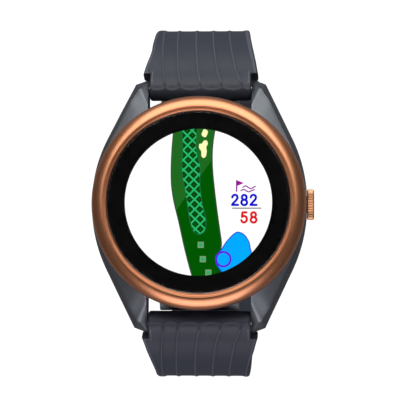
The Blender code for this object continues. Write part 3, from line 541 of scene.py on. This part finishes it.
DIGITS = {
    "2": [[(0.06, 1.2), (0.14, 1.42), (0.34, 1.57), (0.6, 1.58), (0.83, 1.44), (0.9, 1.18), (0.8, 0.9),
           (0.55, 0.62), (0.28, 0.34), (0.06, 0.05)], [(0.04, 0.03), (0.98, 0.03)]],
    "5": [[(0.84, 1.56), (0.22, 1.56), (0.14, 0.88)], [(0.14, 0.86), (0.34, 1.0), (0.58, 1.0), (0.82, 0.84),
          (0.92, 0.55), (0.84, 0.24), (0.62, 0.04), (0.36, 0.0), (0.14, 0.12), (0.03, 0.36)]],
    "8": [[(0.5 + wide * math.sin(a * math.pi / 8), middle + high * math.cos(a * math.pi / 8))
           for a in range(17)] for wide, middle, high in ((0.37, 1.2, 0.38), (0.45, 0.41, 0.42))],
}


def stroke(points, width):
    """A line of some width as small polygons: a bar for each stretch and a disc at each point."""
    made = []
    for (ax, ay), (bx, by) in zip(points, points[1:]):
        run = Vector((bx - ax, by - ay)).normalized() * (width / 2)
        made.append([(ax - run.y, ay + run.x), (ax + run.y, ay - run.x), (bx + run.y, by - run.x),
                     (bx - run.y, by + run.x)])
    return made + [circle(width / 2, 0, 360, 10, p)[:-1] for p in points]


def square(x, y, half):
    """A square's corners."""
    return [(x - half, y - half), (x + half, y - half), (x + half, y + half), (x - half, y + half)]


def display_shapes():
    """The display's picture as (polygons, material, region) from back to front, centred on the display.

    A shape with a region shows only inside the shape of that name.
    """
    left = smooth_curve([(-5.15, 15.9), (-5.55, 11.5), (-5.72, 7.0), (-5.62, 3.4), (-5.1, 0.0), (-4.0, -4.5),
                         (-2.95, -9.2), (-1.9, -13.3), (-1.1, -16.0)])
    right = smooth_curve([(3.55, 15.9), (2.95, 11.8), (2.9, 7.4), (3.35, 2.6), (3.95, -2.2), (4.5, -6.0),
                          (4.86, -8.8), (4.55, -10.5), (4.1, -12.3), (4.7, -14.3), (5.4, -16.0)])
    band = smooth_curve([(-3.55, 15.9), (-3.35, 11.0), (-3.5, 7.9), (-3.35, 5.1), (-2.82, 2.5), (-2.28, -0.7),
                         (-1.75, -3.9), (-1.15, -5.9), (-0.3, -6.75), (0.45, -6.8), (1.3, -6.2), (1.62, -4.9),
                         (1.5, -3.1), (0.92, -0.9), (0.42, 2.1), (0.3, 4.3), (0.35, 7.4), (-0.3, 10.0),
                         (-0.55, 12.4), (-0.15, 15.9)], 4)
    lattice = []
    for k in range(-12, 16):
        for slope in (1, -1):
            points = []
            for x in (-6.0, 4.0):
                y = LATTICE_Y + LATTICE_PITCH * k + slope * (x - LATTICE_X)
                points.append((x - LATTICE_LEAN * (y - LATTICE_Y), y))
            lattice += stroke(points, 0.34)
    half = LATTICE_PITCH / 2
    dots = [circle(0.13, 0, 360, 6, (LATTICE_X + half * c - LATTICE_LEAN * (y - LATTICE_Y), y))[:-1]
            for c in range(-1, 5) for y in (LATTICE_Y + half * (2 * k + 1 + c % 2) for k in range(-11, 2))]
    sand = [[(1.28 + 0.62 * math.cos(a) + 0.1 * math.sin(3 * a), 14.4 + 0.85 * math.sin(a))
             for a in (math.tau * i / 20 for i in range(20))],
            smooth_curve([(1.15, 12.85), (1.75, 12.8), (1.92, 12.1), (1.62, 11.5), (1.72, 10.6), (1.5, 9.45),
                          (1.0, 9.2), (0.6, 9.6), (0.55, 10.6), (0.1, 11.3), (0.15, 12.1), (0.7, 12.25)],
                         4, True)]
    water = smooth_curve([(8.4, -6.4), (9.25, -6.7), (9.95, -7.35), (10.6, -8.5), (10.85, -9.7), (11.1, -11.4),
                          (10.0, -14.0), (7.0, -15.6), (5.6, -15.2), (4.5, -14.1), (3.85, -12.9), (3.8, -12.0),
                          (4.3, -10.8), (4.95, -9.9), (5.85, -8.5), (6.9, -7.3), (7.7, -6.6)], 4, True)
    marks = ((0.54, -9.05), (0.99, -12.04), (2.16, -14.85))
    flag = stroke([(8.0, 2.2), (8.0, 4.4)], 0.3) + [[(8.0, 4.5), (9.5, 3.9), (8.0, 3.25)]]
    waves = []
    for points in ([(9.3, 3.0), (9.85, 3.3), (10.4, 3.0), (10.95, 2.7), (11.5, 3.0), (11.9, 3.2)],
                   [(8.9, 2.3), (9.45, 2.55), (10.0, 2.3), (10.55, 2.05), (11.1, 2.3), (11.7, 2.5)]):
        waves += stroke(smooth_curve(points, 5), 0.26)
    lit = {name: make_lit(f"lit_{name}", colour) for name, colour in {
        "white": (255, 255, 255), "dark_green": (0, 84, 0), "light_green": (30, 104, 30),
        "deep_green": (8, 66, 10), "mint": (38, 186, 108), "mint_rim": (26, 112, 66), "rim": (52, 72, 52),
        "sand": (250, 249, 186), "moss": (118, 160, 116), "tee": (46, 168, 100), "blue_rim": (18, 70, 214),
        "water": (0, 168, 255), "violet": (88, 22, 226), "purple": (148, 16, 150), "blue": (14, 14, 206),
        "grey": (128, 128, 128), "red": (222, 22, 26)}.items()}

    def number(text, x, y, material):
        size = DIGIT_HEIGHT / 1.6
        for place, digit in enumerate(text):
            for line in DIGITS[digit]:
                points = [(x + place * DIGIT_PITCH + (px * 0.98) * size, y + py * size) for px, py in line]
                yield stroke(points, 0.48), material, None

    shapes = [
        ([left + right[::-1]], lit["dark_green"], "course"),
        ([[(-8.0, -6.7), (5.0, 11.9), (5.0, 17.0), (-8.0, 17.0)]], lit["light_green"], "in course"),
        (stroke(left, 0.24) + stroke(right, 0.24), lit["rim"], None),
        ([band], lit["deep_green"], "fairway"),
        (dots, lit["light_green"], "in fairway"),
        (lattice, lit["mint"], "in fairway"),
        (stroke(band, 0.16), lit["mint_rim"], None),
        (sand, lit["sand"], None),
        ([square(x, y, 0.64) for x, y in marks], lit["moss"], None),
        ([square(x, y, 0.4) for x, y in marks], lit["tee"], None),
        ([water], lit["water"], None),
        (stroke(water + water[:1], 0.24), lit["blue_rim"], None),
        (stroke(circle(1.5, 0, 360, 40, (5.27, -12.04)), 0.42), lit["violet"], None),
        (flag + waves, lit["purple"], None),
        (stroke([(7.15, -1.37), (13.05, -1.37)], 0.26), lit["grey"], None),
    ]
    shapes += number("282", 7.0, -0.72, lit["blue"])
    shapes += number("58", 8.95, -4.36, lit["red"])
    return lit["white"], shapes


def make_picture():
    """The lit picture: one flat mesh, split exactly along the edges of its shapes."""
    white, shapes = display_shapes()
    disc = circle(15.6, 0, 360, 180)[:-1]
    points, faces, owner, materials = list(disc), [list(range(len(disc)))], [-1], [white]
    for number, (polygons, material, _) in enumerate(shapes):
        if material not in materials:
            materials.append(material)
        for polygon in polygons:
            area = sum(ax * by - bx * ay for (ax, ay), (bx, by) in zip(polygon, polygon[1:] + polygon[:1]))
            faces.append(list(range(len(points), len(points) + len(polygon))))
            owner.append(number)
            points += polygon if area > 0 else polygon[::-1]
    where = {role: i for i, (_, _, role) in enumerate(shapes) if role and not role.startswith("in ")}
    out = delaunay_2d_cdt([Vector(p) for p in points], [], faces, 1, 1e-5, True)
    kept, indices = [], []
    for face, origins in zip(out[2], out[5]):
        inside = {owner[i] for i in origins}
        if -1 not in inside:
            continue
        best = -1
        for number in sorted(inside - {-1}):
            role = shapes[number][2]
            if role and role.startswith("in ") and where[role[3:]] not in inside:
                continue
            best = number
        kept.append(tuple(face))
        indices.append(0 if best < 0 else materials.index(shapes[best][1]))
    used = sorted({i for face in kept for i in face})
    renumber = {old: new for new, old in enumerate(used)}
    kept = [tuple(renumber[i] for i in face) for face in kept]
    flat = [(out[0][i].x, out[0][i].y + PICTURE_SHIFT, PICTURE_LEVEL) for i in used]
    made = new_object("display_picture", flat, kept, materials, indices)
    made.data.shade_flat()
    if made.data.polygons[0].normal.z < 0:
        made.data.flip_normals()
    return finish_piece(made, "watch_head", "display")


def make_display_panel():
    """The display's thin glass cell under the picture, with a chamfered edge."""
    low, high = (corner.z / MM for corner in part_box("display_panel"))
    cell = [(0, high), (16.0, high), (16.78, high), (16.9, high - 0.12), (16.9, low + 0.1), (16.8, low),
            (8.0, low), (0, low)]
    finish_piece(revolve("display_cell", cell, DIFFUSER, 192, closed=False), "watch_head", "display",
                 "display_panel")


# ---------------------------------------------------------------- crown


def make_crown():
    """The knurled crown: rounded teeth, chamfered ends and a stepped cap."""
    low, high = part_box("crown")
    inner, outer = low.x / MM, high.x / MM
    radius, teeth, per_tooth, depth = (high.z - low.z) / 2 / MM, 36, 12, 0.22
    stations = [(inner, 0.9, 0.0), (inner + 0.12, 0.955, 0.6), (inner + 0.24, 1.0, 1.0),
                (outer - 0.3, 1.0, 1.0), (outer - 0.16, 0.965, 0.7), (outer - 0.05, 0.91, 0.15),
                (outer - 0.02, 0.88, 0.0), (outer - 0.02, 0.83, 0.0), (outer - 0.1, 0.81, 0.0),
                (outer - 0.1, 0.77, 0.0), (outer - 0.02, 0.75, 0.0), (outer, 0.6, 0.0), (outer, 0.3, 0.0),
                (outer, 0.02, 0.0)]
    rings = []
    for x, share, cut in stations:
        ring = []
        for step in range(teeth * per_tooth):
            angle = math.tau * step / (teeth * per_tooth)
            wave = 0.5 + 0.5 * math.cos(teeth * angle)
            reach = radius * share - depth * cut * (1 - wave**0.6)
            ring.append((x, reach * math.cos(angle), CROWN_Z + reach * math.sin(angle)))
        rings.append(ring)
    made = loft("crown_knob", rings, CROWN_GOLD)
    boolean(made, [rod("stem_bore", 0.65, (20, 0, CROWN_Z), (outer - 0.15, 0, CROWN_Z), 32),
                   rod("spring_room", 2.35, (20, 0, CROWN_Z), (outer - 0.45, 0, CROWN_Z), 48)])
    return finish_piece(made, "crown_knob", "copper", "crown")


def make_crown_spring():
    """The crown's return spring, as a wire coil at rest."""
    low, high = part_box("crown_spring")
    wire, length = SPRING_WIRE * MM, high.x - low.x
    radius = (high.z - low.z) / 2 - wire
    steps = round(SPRING_TURNS * 40)
    rings = []
    for step in range(steps + 1):
        angle = math.tau * SPRING_TURNS * step / steps
        x = low.x + wire + (length - 2 * wire) * step / steps
        ring = []
        for side in range(12):
            turn = math.tau * side / 12
            reach = (radius + wire * math.cos(turn)) / MM
            ring.append(((x + wire * math.sin(turn)) / MM, reach * math.cos(angle),
                         CROWN_Z + reach * math.sin(angle)))
        rings.append(ring)
    made = finish_piece(loft("crown_spring_coil", rings, STEEL), "watch_head", "steel", "crown_spring")
    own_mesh(made)


# ---------------------------------------------------------------- straps


def along(route, s):
    """Where a strap's centreline is at length s from its bar: y, z and heading in radians below level."""
    heading = math.radians(route[0])
    y, z = BAR_Y, BAR_Z
    for length, radius in route[1]:
        step = min(s, length)
        if radius is None:
            y, z = y + step * math.cos(heading), z - step * math.sin(heading)
        else:
            turn = heading + step / radius
            y += radius * (math.sin(turn) - math.sin(heading))
            z += radius * (math.cos(turn) - math.cos(heading))
            heading = turn
        s -= step
        if s <= 0:
            break
    return y, z, heading


def length_of(route):
    """A strap's whole length."""
    return sum(length for length, _ in route[1])


def strap_half_width(s, total, tail):
    """Half of the strap's width at s."""
    if s <= NECK_LENGTH:
        return NECK_WIDTH / 2
    taper_end = LOWER_TAPER_END if tail else UPPER_TAPER_END
    left = max(0.0, (taper_end - s) / (taper_end - NECK_LENGTH)) ** TAPER_POWER
    width = STRAP_WIDTH + (STRAP_WIDTH_AT_LUGS - STRAP_WIDTH) * left
    if tail and s > total - TAIL_ROUND:
        share = min(1.0, (s - (total - TAIL_ROUND)) / TAIL_ROUND)
        width *= math.sqrt(1 - TAIL_FULLNESS * share**2)
    return width / 2


def left_swell(s, tail):
    """How far the band's left edge stands out past its half width at s."""
    swell = (SWELL_LOWER if tail else SWELL_UPPER) * ease(s, *SWELL_RISE) * (1 - ease(s, *SWELL_FALL))
    waist = 0.0 if tail else WAIST * ease(s, *WAIST_RISE) * (1 - ease(s, *WAIST_FALL))
    return swell - waist


def ridge_lines(s):
    """Where each ridge is across the strap at s: they lean to the left as they leave the case."""
    lean = 1 - math.exp(-max(0.0, s + 1.0) / RIDGE_REACH)
    return [x - lean * (RIDGE_DRIFT + RIDGE_LEAN * max(0.0, x - RIDGE_LEAN_PIVOT)) for x in RIDGES]


def flute(s, x, ridges, last):
    """Depth of the valley between two ridges at s and x; last is where the flutes run out."""
    for place, (low, high) in enumerate(zip(ridges, ridges[1:])):
        if low <= x <= high:
            away = abs(2 * (x - low) / (high - low) - 1)
            start = FLUTE_START + FLUTE_SCALLOP * away**2
            shape = (1 - away**FLUTE_POWER) * ease(s, start, start + FLUTE_RAMP)
            if place == 0:
                shape *= 1 - ease(s, 5.0, 14.0)
            return FLUTE_DEPTH * shape * (1 - ease(s + 2.5 * away**2, last - 3.0, last))
    return 0.0


def strap_columns():
    """Columns across the strap, as shares of the way from one ridge to the next."""
    shares = (0.0, 0.035, 0.09, 0.18, 0.3, 0.42, 0.5, 0.58, 0.7, 0.82, 0.91, 0.965)
    middle = [(gap, share) for gap in range(len(RIDGES) - 1) for share in shares]
    return middle + [(len(RIDGES) - 1, 0.0)]


def strap_row(s, total, tail, columns):
    """Offsets across the strap at s, each with how far it is from the edge."""
    half = strap_half_width(s, total, tail)
    edge = min(EDGE_RADIUS, half * 0.4)
    limit = half - edge
    ridges = ridge_lines(s)
    inset = [share * edge / EDGE_RADIUS for share in (0.0, 0.07, 0.2, 0.38)]
    swell = left_swell(s, tail)
    row = [(-half - swell + e, e) for e in inset]
    for number, (gap, share) in enumerate(columns):
        low = ridges[gap]
        high = ridges[gap + 1] if gap + 1 < len(ridges) else low
        x = low + (high - low) * share
        x = max(x, -limit - swell + 0.012 * number)
        x = min(x, limit - 0.012 * (len(columns) - 1 - number))
        row.append((x, edge))
    row += [(half - e, e) for e in reversed(inset)]
    return row, ridges, edge


def make_strap(name, route, side, tail, end_radius, last):
    """A strap half: knuckle, neck, shoulder, fluted band and end, as one closed mesh."""
    total = length_of(route)
    columns = strap_columns()
    grid = []

    def add_row(s, offset, outer, centre, heading, angle=None, slip=0.0):
        """One row of points on the outer or inner face, or round an end at an angle."""
        row, ridges, edge = strap_row(s, total, tail, columns)
        y, z = centre
        line = []
        for x, away in row:
            drop = edge - math.sqrt(max(0.0, edge**2 - (edge - away) ** 2))
            reach = offset - drop
            if outer:
                reach -= flute(s, x, ridges, last) * ease(away, 0.0, edge)
            turn = heading if angle is None else heading + angle
            py = y + reach * math.sin(turn) + slip * math.cos(heading)
            pz = z + reach * math.cos(turn) - slip * math.sin(heading)
            line.append((x, side * py, pz))
        grid.append(line)

    def offset_at(s, outer):
        thick = NECK_THICKNESS + (STRAP_THICKNESS - NECK_THICKNESS) * ease(s, 0.0, THINNING_END)
        grow = (KNUCKLE_RADIUS - NECK_THICKNESS / 2) * (1 - ease(s, 0.0, 5.5 if outer else 3.2))
        return thick / 2 + grow + (end_radius - STRAP_THICKNESS / 2) * ease(s, stop - 5.0, stop)

    stop = total - (end_radius if tail else 0.0)
    rows = [NECK_LENGTH * i / 10 for i in range(1, 10)] + [NECK_LENGTH - 0.02, NECK_LENGTH + 0.02]
    while rows[-1] < stop - 0.9:
        rows.append(rows[-1] + (0.6 if rows[-1] < 40 else 0.9))
    rows.append(stop)
    if tail:
        rows = [s for s in rows if s < total - TAIL_ROUND]
        rows += [total - TAIL_ROUND + (TAIL_ROUND - end_radius) * math.sin(math.pi / 2 * i / 14)
                 for i in range(15)]
    for outer in (True, False):
        for s in reversed(rows) if outer else rows:
            y, z, heading = along(route, s)
            slip = SHOULDER_SLIP * max(0.0, 1 - (s - NECK_LENGTH) / 3.0) if outer and s > NECK_LENGTH else 0.0
            add_row(s, offset_at(s, outer), outer, (y, z), heading, None if outer else math.pi, slip)
        if outer:
            _, _, heading = along(route, 0.0)
            for step in range(40):
                angle = -math.pi * step / 39
                add_row(KNUCKLE_RADIUS * angle, KNUCKLE_RADIUS, True, (BAR_Y, BAR_Z), heading, angle)
    inner_end = len(grid) - 1
    y, z, heading = along(route, stop)
    for step in range(1, 10):
        angle = math.pi * (1 - step / 10)
        add_row(min(total, stop + end_radius * math.sin(angle)), end_radius, False, (y, z), heading, angle)
    count = len(grid[0])
    points = [p for line in grid for p in line]
    faces = grid_faces(len(grid), count, wrap_rows=True, wrap_columns=False)
    outer_rows = len(rows)
    knuckle = range(outer_rows, outer_rows + 40)
    inner = range(outer_rows + 40, inner_end + 1)
    for column in (0, count - 1):
        def at(row):
            return row * count + column
        for i in range(outer_rows - 1):
            a, b = outer_rows - 1 - i, outer_rows - 2 - i
            c, d = inner[i + 1], inner[i]
            faces.append((at(a), at(b), at(c), at(d)))
        faces.append(tuple(at(i) for i in [outer_rows - 1, *knuckle, inner[0]]))
        faces.append(tuple(at(i) for i in [inner_end, *range(inner_end + 1, len(grid)), 0]))
    # The faces beside each ridge line take the lighter ridge material: wear plus a painted highlight where the
    # ridge tops catch the light.
    worn_and_highlit_ridges = {column + 4 + step for column, (_, share) in enumerate(columns) if share == 0.0
              for step in (-1, 0)}
    indices = [int(number // (count - 1) < outer_rows and number % (count - 1) in worn_and_highlit_ridges)
               for number in range(len(faces))]
    return new_object(name, points, faces, [RUBBER, RIDGE], indices)


def make_upper_strap():
    """The short half at 12 o'clock, which carries the buckle."""
    made = make_strap("short_strap_band", UPPER_ROUTE, 1, False, BUCKLE_KNUCKLE_RADIUS,
                      UPPER_FLUTES_END)
    y, z, heading = along(UPPER_ROUTE, length_of(UPPER_ROUTE))
    slot = Matrix.Translation((0, y, z)) @ Matrix.Rotation(-heading, 4, "X")
    outline = [(1.7, 4.0), (-1.7, 4.0)] + circle(1.7, 180, 360, 16, (0, -2.9))
    boolean(made, [rod("bar_bore", KNUCKLE_BORE, (-15, BAR_Y, BAR_Z), (15, BAR_Y, BAR_Z)),
                   rod("pin_bore", PIN_RADIUS + 0.1, (-15, y, z), (15, y, z)),
                   prism("tongue_slot", outline, -4, 4, None, slot)])
    return finish_piece(made, "short_strap", "rubber", "strap_upper")


def make_lower_strap():
    """The long half at 6 o'clock, with the adjustment holes."""
    made = make_strap("long_strap_band", LOWER_ROUTE, -1, True, STRAP_THICKNESS / 2, LOWER_FLUTES_END)
    total = length_of(LOWER_ROUTE)
    wide, long = HOLE_SIZE
    outline = circle(wide / 2, 0, 180, 16, (0, (long - wide) / 2))
    outline += circle(wide / 2, 180, 360, 16, (0, -(long - wide) / 2))
    cutters = [rod("bar_bore", KNUCKLE_BORE, (-15, -BAR_Y, BAR_Z), (15, -BAR_Y, BAR_Z))]
    for number in range(HOLE_COUNT):
        y, z, heading = along(LOWER_ROUTE, total - HOLE_FROM_TIP - number * HOLE_PITCH)
        place = Matrix.Translation((0, -y, z)) @ Matrix.Rotation(heading, 4, "X")
        cutters.append(prism("hole", outline, -4, 4, None, place))
    boolean(made, cutters)
    return finish_piece(made, "long_strap", "rubber", "strap_lower")


# ---------------------------------------------------------------- buckle, keepers and back


def rounded_rectangle(half, low, high, radius, steps=8):
    """Outline of a rectangle with rounded corners, from low to high in its second axis."""
    right, left = half - radius, radius - half
    points = circle(radius, 270, 360, steps, (right, low + radius))
    points += circle(radius, 0, 90, steps, (right, high - radius))
    points += circle(radius, 90, 180, steps, (left, high - radius))
    return points + circle(radius, 180, 270, steps, (left, low + radius))


def make_keeper(node, body, s):
    """A rubber loop round the short strap, with soft edges and a shallow groove round its middle."""
    y, z, heading = along(UPPER_ROUTE, s)
    place = Matrix(((1, 0, 0, 0), (0, math.sin(heading), math.cos(heading), y),
                    (0, math.cos(heading), -math.sin(heading), z), (0, 0, 0, 1)))
    half, low, high, wall = STRAP_WIDTH / 2 + 0.25, -STRAP_THICKNESS / 2 - 0.25, 4.4, 1.2
    section = [(0.0, -2.2), (0.12, -2.42), (0.35, -2.5), (0.85, -2.5), (1.08, -2.42), (1.2, -2.2),
               (1.2, -0.75), (1.17, -0.6), (1.02, -0.45), (1.0, -0.3)]
    section += [(out, -run) for out, run in reversed(section)]
    inner = rounded_rectangle(half, low, high, 0.5)
    outer = rounded_rectangle(half + wall, low - wall, high + wall, 1.4)
    rings = []
    for (ax, ay), (bx, by) in zip(inner, outer):
        rings.append([tuple(place @ Vector((ax + (bx - ax) * out / wall, ay + (by - ay) * out / wall, run)))
                      for out, run in section])
    made = loft(f"{node}_loop", rings, RUBBER, wrap=True, crease=50)
    return finish_piece(made, body, "rubber", node)


def make_buckle():
    """The pin buckle's frame and tongue in satin metal."""
    y, z, _ = along(UPPER_ROUTE, length_of(UPPER_ROUTE))
    low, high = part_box("buckle_frame")
    front, back, half = low.y / MM - y, high.y / MM - y, high.x / MM
    inner, bar = 10.3, 2.3
    window = circle(1.0, 0, -90, 6, (inner - 1.0, front + bar + 1.0))
    outline = [(inner, back)] + window + [(-px, py) for px, py in reversed(window)] + [(-inner, back)]
    rim = circle(2.8, 180, 270, 12, (2.8 - half, front + 2.8))
    rim += circle(2.8, 270, 360, 12, (half - 2.8, front + 2.8))
    outline += [(-half, back)] + rim + [(half, back)]
    made = prism("buckle_ring", [(px, y + py) for px, py in outline], low.z / MM, high.z / MM, ROSE_GOLD)
    boolean(made, [rod("pin_seat", PIN_RADIUS + 0.05, (-11.9, y, z), (11.9, y, z), 32)])
    bevel(made, 0.45, 4, 50)
    finish_piece(made, "buckle", "copper", "buckle_frame")
    low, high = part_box("buckle_tongue")
    base, top = low.z / MM - z, -1.18
    lower = [(-2.6, base + 0.55), (-4.0, base + 0.5), (front + 1.4, base + 0.5), (front + 0.3, base + 0.42),
             (front - 0.35, base), (low.y / MM - y, base + 0.25)]
    upper = [(low.y / MM - y + 0.05, base + 0.75), (front + 0.3, top), (-3.4, top), (-2.2, top + 0.3)]
    eye = circle(1.55, 150, -120, 24)
    outline = [(py, pz) for py, pz in eye] + lower + upper
    swap = Matrix(((0, 0, 1, 0), (1, 0, 0, y), (0, 1, 0, z), (0, 0, 0, 1)))
    made = prism("tongue_bar", outline, low.x / MM, high.x / MM, ROSE_GOLD, swap)
    boolean(made, [rod("eye_bore", PIN_RADIUS + 0.08, (-3, y, z), (3, y, z), 32)])
    bevel(made, 0.14, 3, 40)
    finish_piece(made, "tongue", "copper", "buckle_tongue")


def round_node(node):
    """A round upright CAD node's centre x and y, radius, bottom and top."""
    low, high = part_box(node)
    x, y = (low.x + high.x) / 2 / MM, (low.y + high.y) / 2 / MM
    return x, y, (high.x - low.x) / 2 / MM, low.z / MM, high.z / MM


def make_back():
    """The back cover with its step, screw seats and contact window, and the parts set in it."""
    low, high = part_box("back_cover")
    radius, top = high.x / MM, high.z / MM
    cover = [(0, 0), (15.0, 0), (18.25, 0), (18.42, 0.03), (18.84, 0.44), (radius, 0.6), (radius, top - 0.08),
             (radius - 0.08, top), (10.0, top), (0, top)]
    made = revolve("back_plate", cover, BACK_PLASTIC, closed=False)
    cutters = [revolve("seat_ring", [(13.55, -0.2), (13.75, -0.2), (13.7, 0.1), (13.6, 0.1)], None, 192)]
    for number in range(1, 5):
        x, y, half, _, _ = round_node(f"back_screw_{number}")
        cutters.append(rod("screw_seat", half + 0.08, (x, y, -1), (x, y, 0.92)))
        cutters.append(rod("screw_hole", 0.8, (x, y, 0.5), (x, y, 3), 32))
        x, y, half, _, _ = round_node(f"charging_contact_{number}")
        cutters.append(rod("contact_hole", half + 0.02, (x, y, -1), (x, y, 3), 48))
    boolean(made, cutters)
    finish_piece(made, "watch_head", "back_plastic", "back_cover")
    for number in range(1, 5):
        make_screw(number)
        x, y, half, bottom, top = round_node(f"charging_contact_{number}")
        pin = [(0, bottom + 0.04), (half * 0.5, bottom + 0.03), (half - 0.12, bottom),
               (half - 0.03, bottom + 0.03), (half, bottom + 0.12), (half, top), (half * 0.5, top), (0, top)]
        made = revolve(f"contact_pin_{number}", pin, GOLD, 64, (x, y), closed=False)
        finish_piece(made, "watch_head", "gold", f"charging_contact_{number}")


def make_screw(number):
    """A cross-recess screw with its head down and a threaded shank."""
    node = f"back_screw_{number}"
    x, y, half, bottom, top = round_node(node)
    neck = bottom + SCREW_HEAD * 0.75
    profile = [(0, bottom), (half * 0.5, bottom), (half - 0.16, bottom + 0.02), (half - 0.04, bottom + 0.1),
               (half, bottom + 0.22), (half, neck), (0.62, neck + 0.02)]
    turn = 0
    while (level := neck + 0.15 + turn * THREAD_PITCH) < top - 0.3:
        profile += [(0.5, level), (0.64, level + 0.12), (0.64, level + 0.16)]
        turn += 1
    profile += [(0.5, top - 0.14), (0.3, top), (0, top)]
    made = revolve(f"case_screw_{number}", profile, STEEL, 48, (x, y), closed=False)
    slots = []
    for angle in (0, 90):
        place = Matrix.Translation((x, y, 0)) @ Matrix.Rotation(math.radians(angle + 20), 4, "Z")
        bar = [(-half * 0.62, -0.15), (half * 0.62, -0.15), (half * 0.62, 0.15), (-half * 0.62, 0.15)]
        slots.append(prism("slot", bar, bottom - 0.5, bottom + 0.35, None, place))
    boolean(made, slots)
    finish_piece(made, "watch_head", "steel", node)


# ---------------------------------------------------------------- CAD nodes that stay


NODE_FINISHES = (
    (STEEL, "motor_shaft motor_rotor crown_tube crown_washer crown_stem crown_clip buckle_pin board_screw_1 "
            "board_screw_2 board_screw_3 upper_bar_tube lower_bar_tube upper_bar_tip_right upper_bar_tip_left "
            "lower_bar_tip_right lower_bar_tip_left"),
    (CHIP, "display_bracket display_connector processor flash_memory battery_connector motor_base switch_body"),
    (SEAL, "lens_adhesive battery_pad switch_plunger crown_oring back_gasket"),
    (BRUSHED, "rf_shield motor_can"), (FILM, "touch_sensor"), (DIFFUSER, "backlight_plate"),
    (FLEX, "display_flex"), (BOARD, "main_board"), (GOLD, "gps_antenna"), (FOIL, "battery"),
    (RED_WIRE, "battery_lead_positive"), (BLACK_WIRE, "battery_lead_negative"),
)


def finish_nodes():
    """Give the CAD nodes that stay their finishes and smooth shading."""
    for material, names in NODE_FINISHES:
        for name in names.split():
            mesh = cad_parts[name].data
            mesh.materials.clear()
            mesh.materials.append(material)
            mesh.shade_smooth()
            mesh.set_sharp_from_angle(angle=math.radians(NODE_CREASE))


# ---------------------------------------------------------------- studio


def make_floor():
    """A mid-grey floor under the lowest point, which glows white for the camera but not onto the watch."""
    size, level = 2500.0, CAD_LOW.z / MM - 0.2
    made = Surface("floor_paper", (120, 120, 122), 0.9)
    made.vary_colour(made.noise(60.0, 2.0), (124, 124, 126))
    made.shader.inputs["Emission Color"].default_value = (1, 1, 1, 1)
    glow = made.tree.nodes.new("ShaderNodeMath")
    glow.operation = "MULTIPLY"
    glow.inputs[1].default_value = FLOOR_GLOW
    made.link(made.tree.nodes.new("ShaderNodeLightPath").outputs["Is Camera Ray"], glow.inputs[0])
    made.link(glow.outputs["Value"], made.shader.inputs["Emission Strength"])
    corners = [(-size, -size, level), (size, -size, level), (size, size, level), (-size, size, level)]
    new_object("floor", corners, [(0, 1, 2, 3)], [made.made])


def make_light(name, place, size, power, colour):
    """A soft rectangular light that faces the dial; power in watts."""
    data = bpy.data.lights.new(name, "AREA")
    data.shape, data.size, data.size_y = "RECTANGLE", size[0] * MM, size[1] * MM
    data.energy, data.color = power, colour
    made = bpy.data.objects.new(name, data)
    bpy.context.scene.collection.objects.link(made)
    made.location = Vector(place) * MM
    made.rotation_euler = (Vector(LIGHT_TARGET) - Vector(place)).to_track_quat("-Z", "Y").to_euler()


def make_studio():
    """Softboxes beyond 12 and 6 o'clock in dark surroundings, darkest overhead."""
    make_light("softbox_12", (0, 470, 373), (840, 700), 4.0, WARM)
    for hand in (-1, 1):
        make_light(f"wing_{hand}", (275 * hand, 159, 509), (200, 200), 0.13, WARM)
    make_light("softbox_6", (0, -530, 280), (600, 500), 1.9, COOL)
    world = bpy.data.worlds.new("studio")
    world.use_nodes = True
    tree = world.node_tree
    height = tree.nodes.new("ShaderNodeSeparateXYZ")
    tree.links.new(tree.nodes.new("ShaderNodeTexCoord").outputs["Generated"], height.inputs["Vector"])
    dimmer = tree.nodes.new("ShaderNodeMapRange")
    for name, value in {"From Min": 0.75, "From Max": 0.95, "To Min": 1.0, "To Max": 0.12}.items():
        dimmer.inputs[name].default_value = value
    tree.links.new(height.outputs["Z"], dimmer.inputs["Value"])
    tree.nodes["Background"].inputs["Color"].default_value = SURROUNDINGS
    tree.links.new(dimmer.outputs["Result"], tree.nodes["Background"].inputs["Strength"])
    bpy.context.scene.world = world
    bpy.context.scene.view_settings.view_transform = "Standard"


def make_camera():
    """Above the dial, a little towards 4 o'clock."""
    data = bpy.data.cameras.new("camera")
    data.sensor_width, data.lens = 36.0, 180.0
    made = bpy.data.objects.new("camera", data)
    bpy.context.scene.collection.objects.link(made)
    back = Vector(CAMERA_BACK).normalized()
    made.location = (Vector(CAMERA_TARGET) + back * CAMERA_DISTANCE) * MM
    side = Vector((1, 0, 0)) - back * back.x
    side.normalize()
    up = back.cross(side)
    made.rotation_euler = Matrix((side, up, back)).transposed().to_euler()
    data.clip_start, data.clip_end = 0.01, 20.0
    bpy.context.scene.camera = made


make_case()
make_bezel()
make_lens()
make_picture()
make_display_panel()
make_crown()
make_crown_spring()
make_upper_strap()
make_lower_strap()
make_keeper("keeper_fixed", "short_strap", FIXED_KEEPER_S)
make_keeper("keeper_free", "sliding_keeper", FREE_KEEPER_S)
make_buckle()
make_back()
finish_nodes()
make_floor()
make_studio()
make_camera()
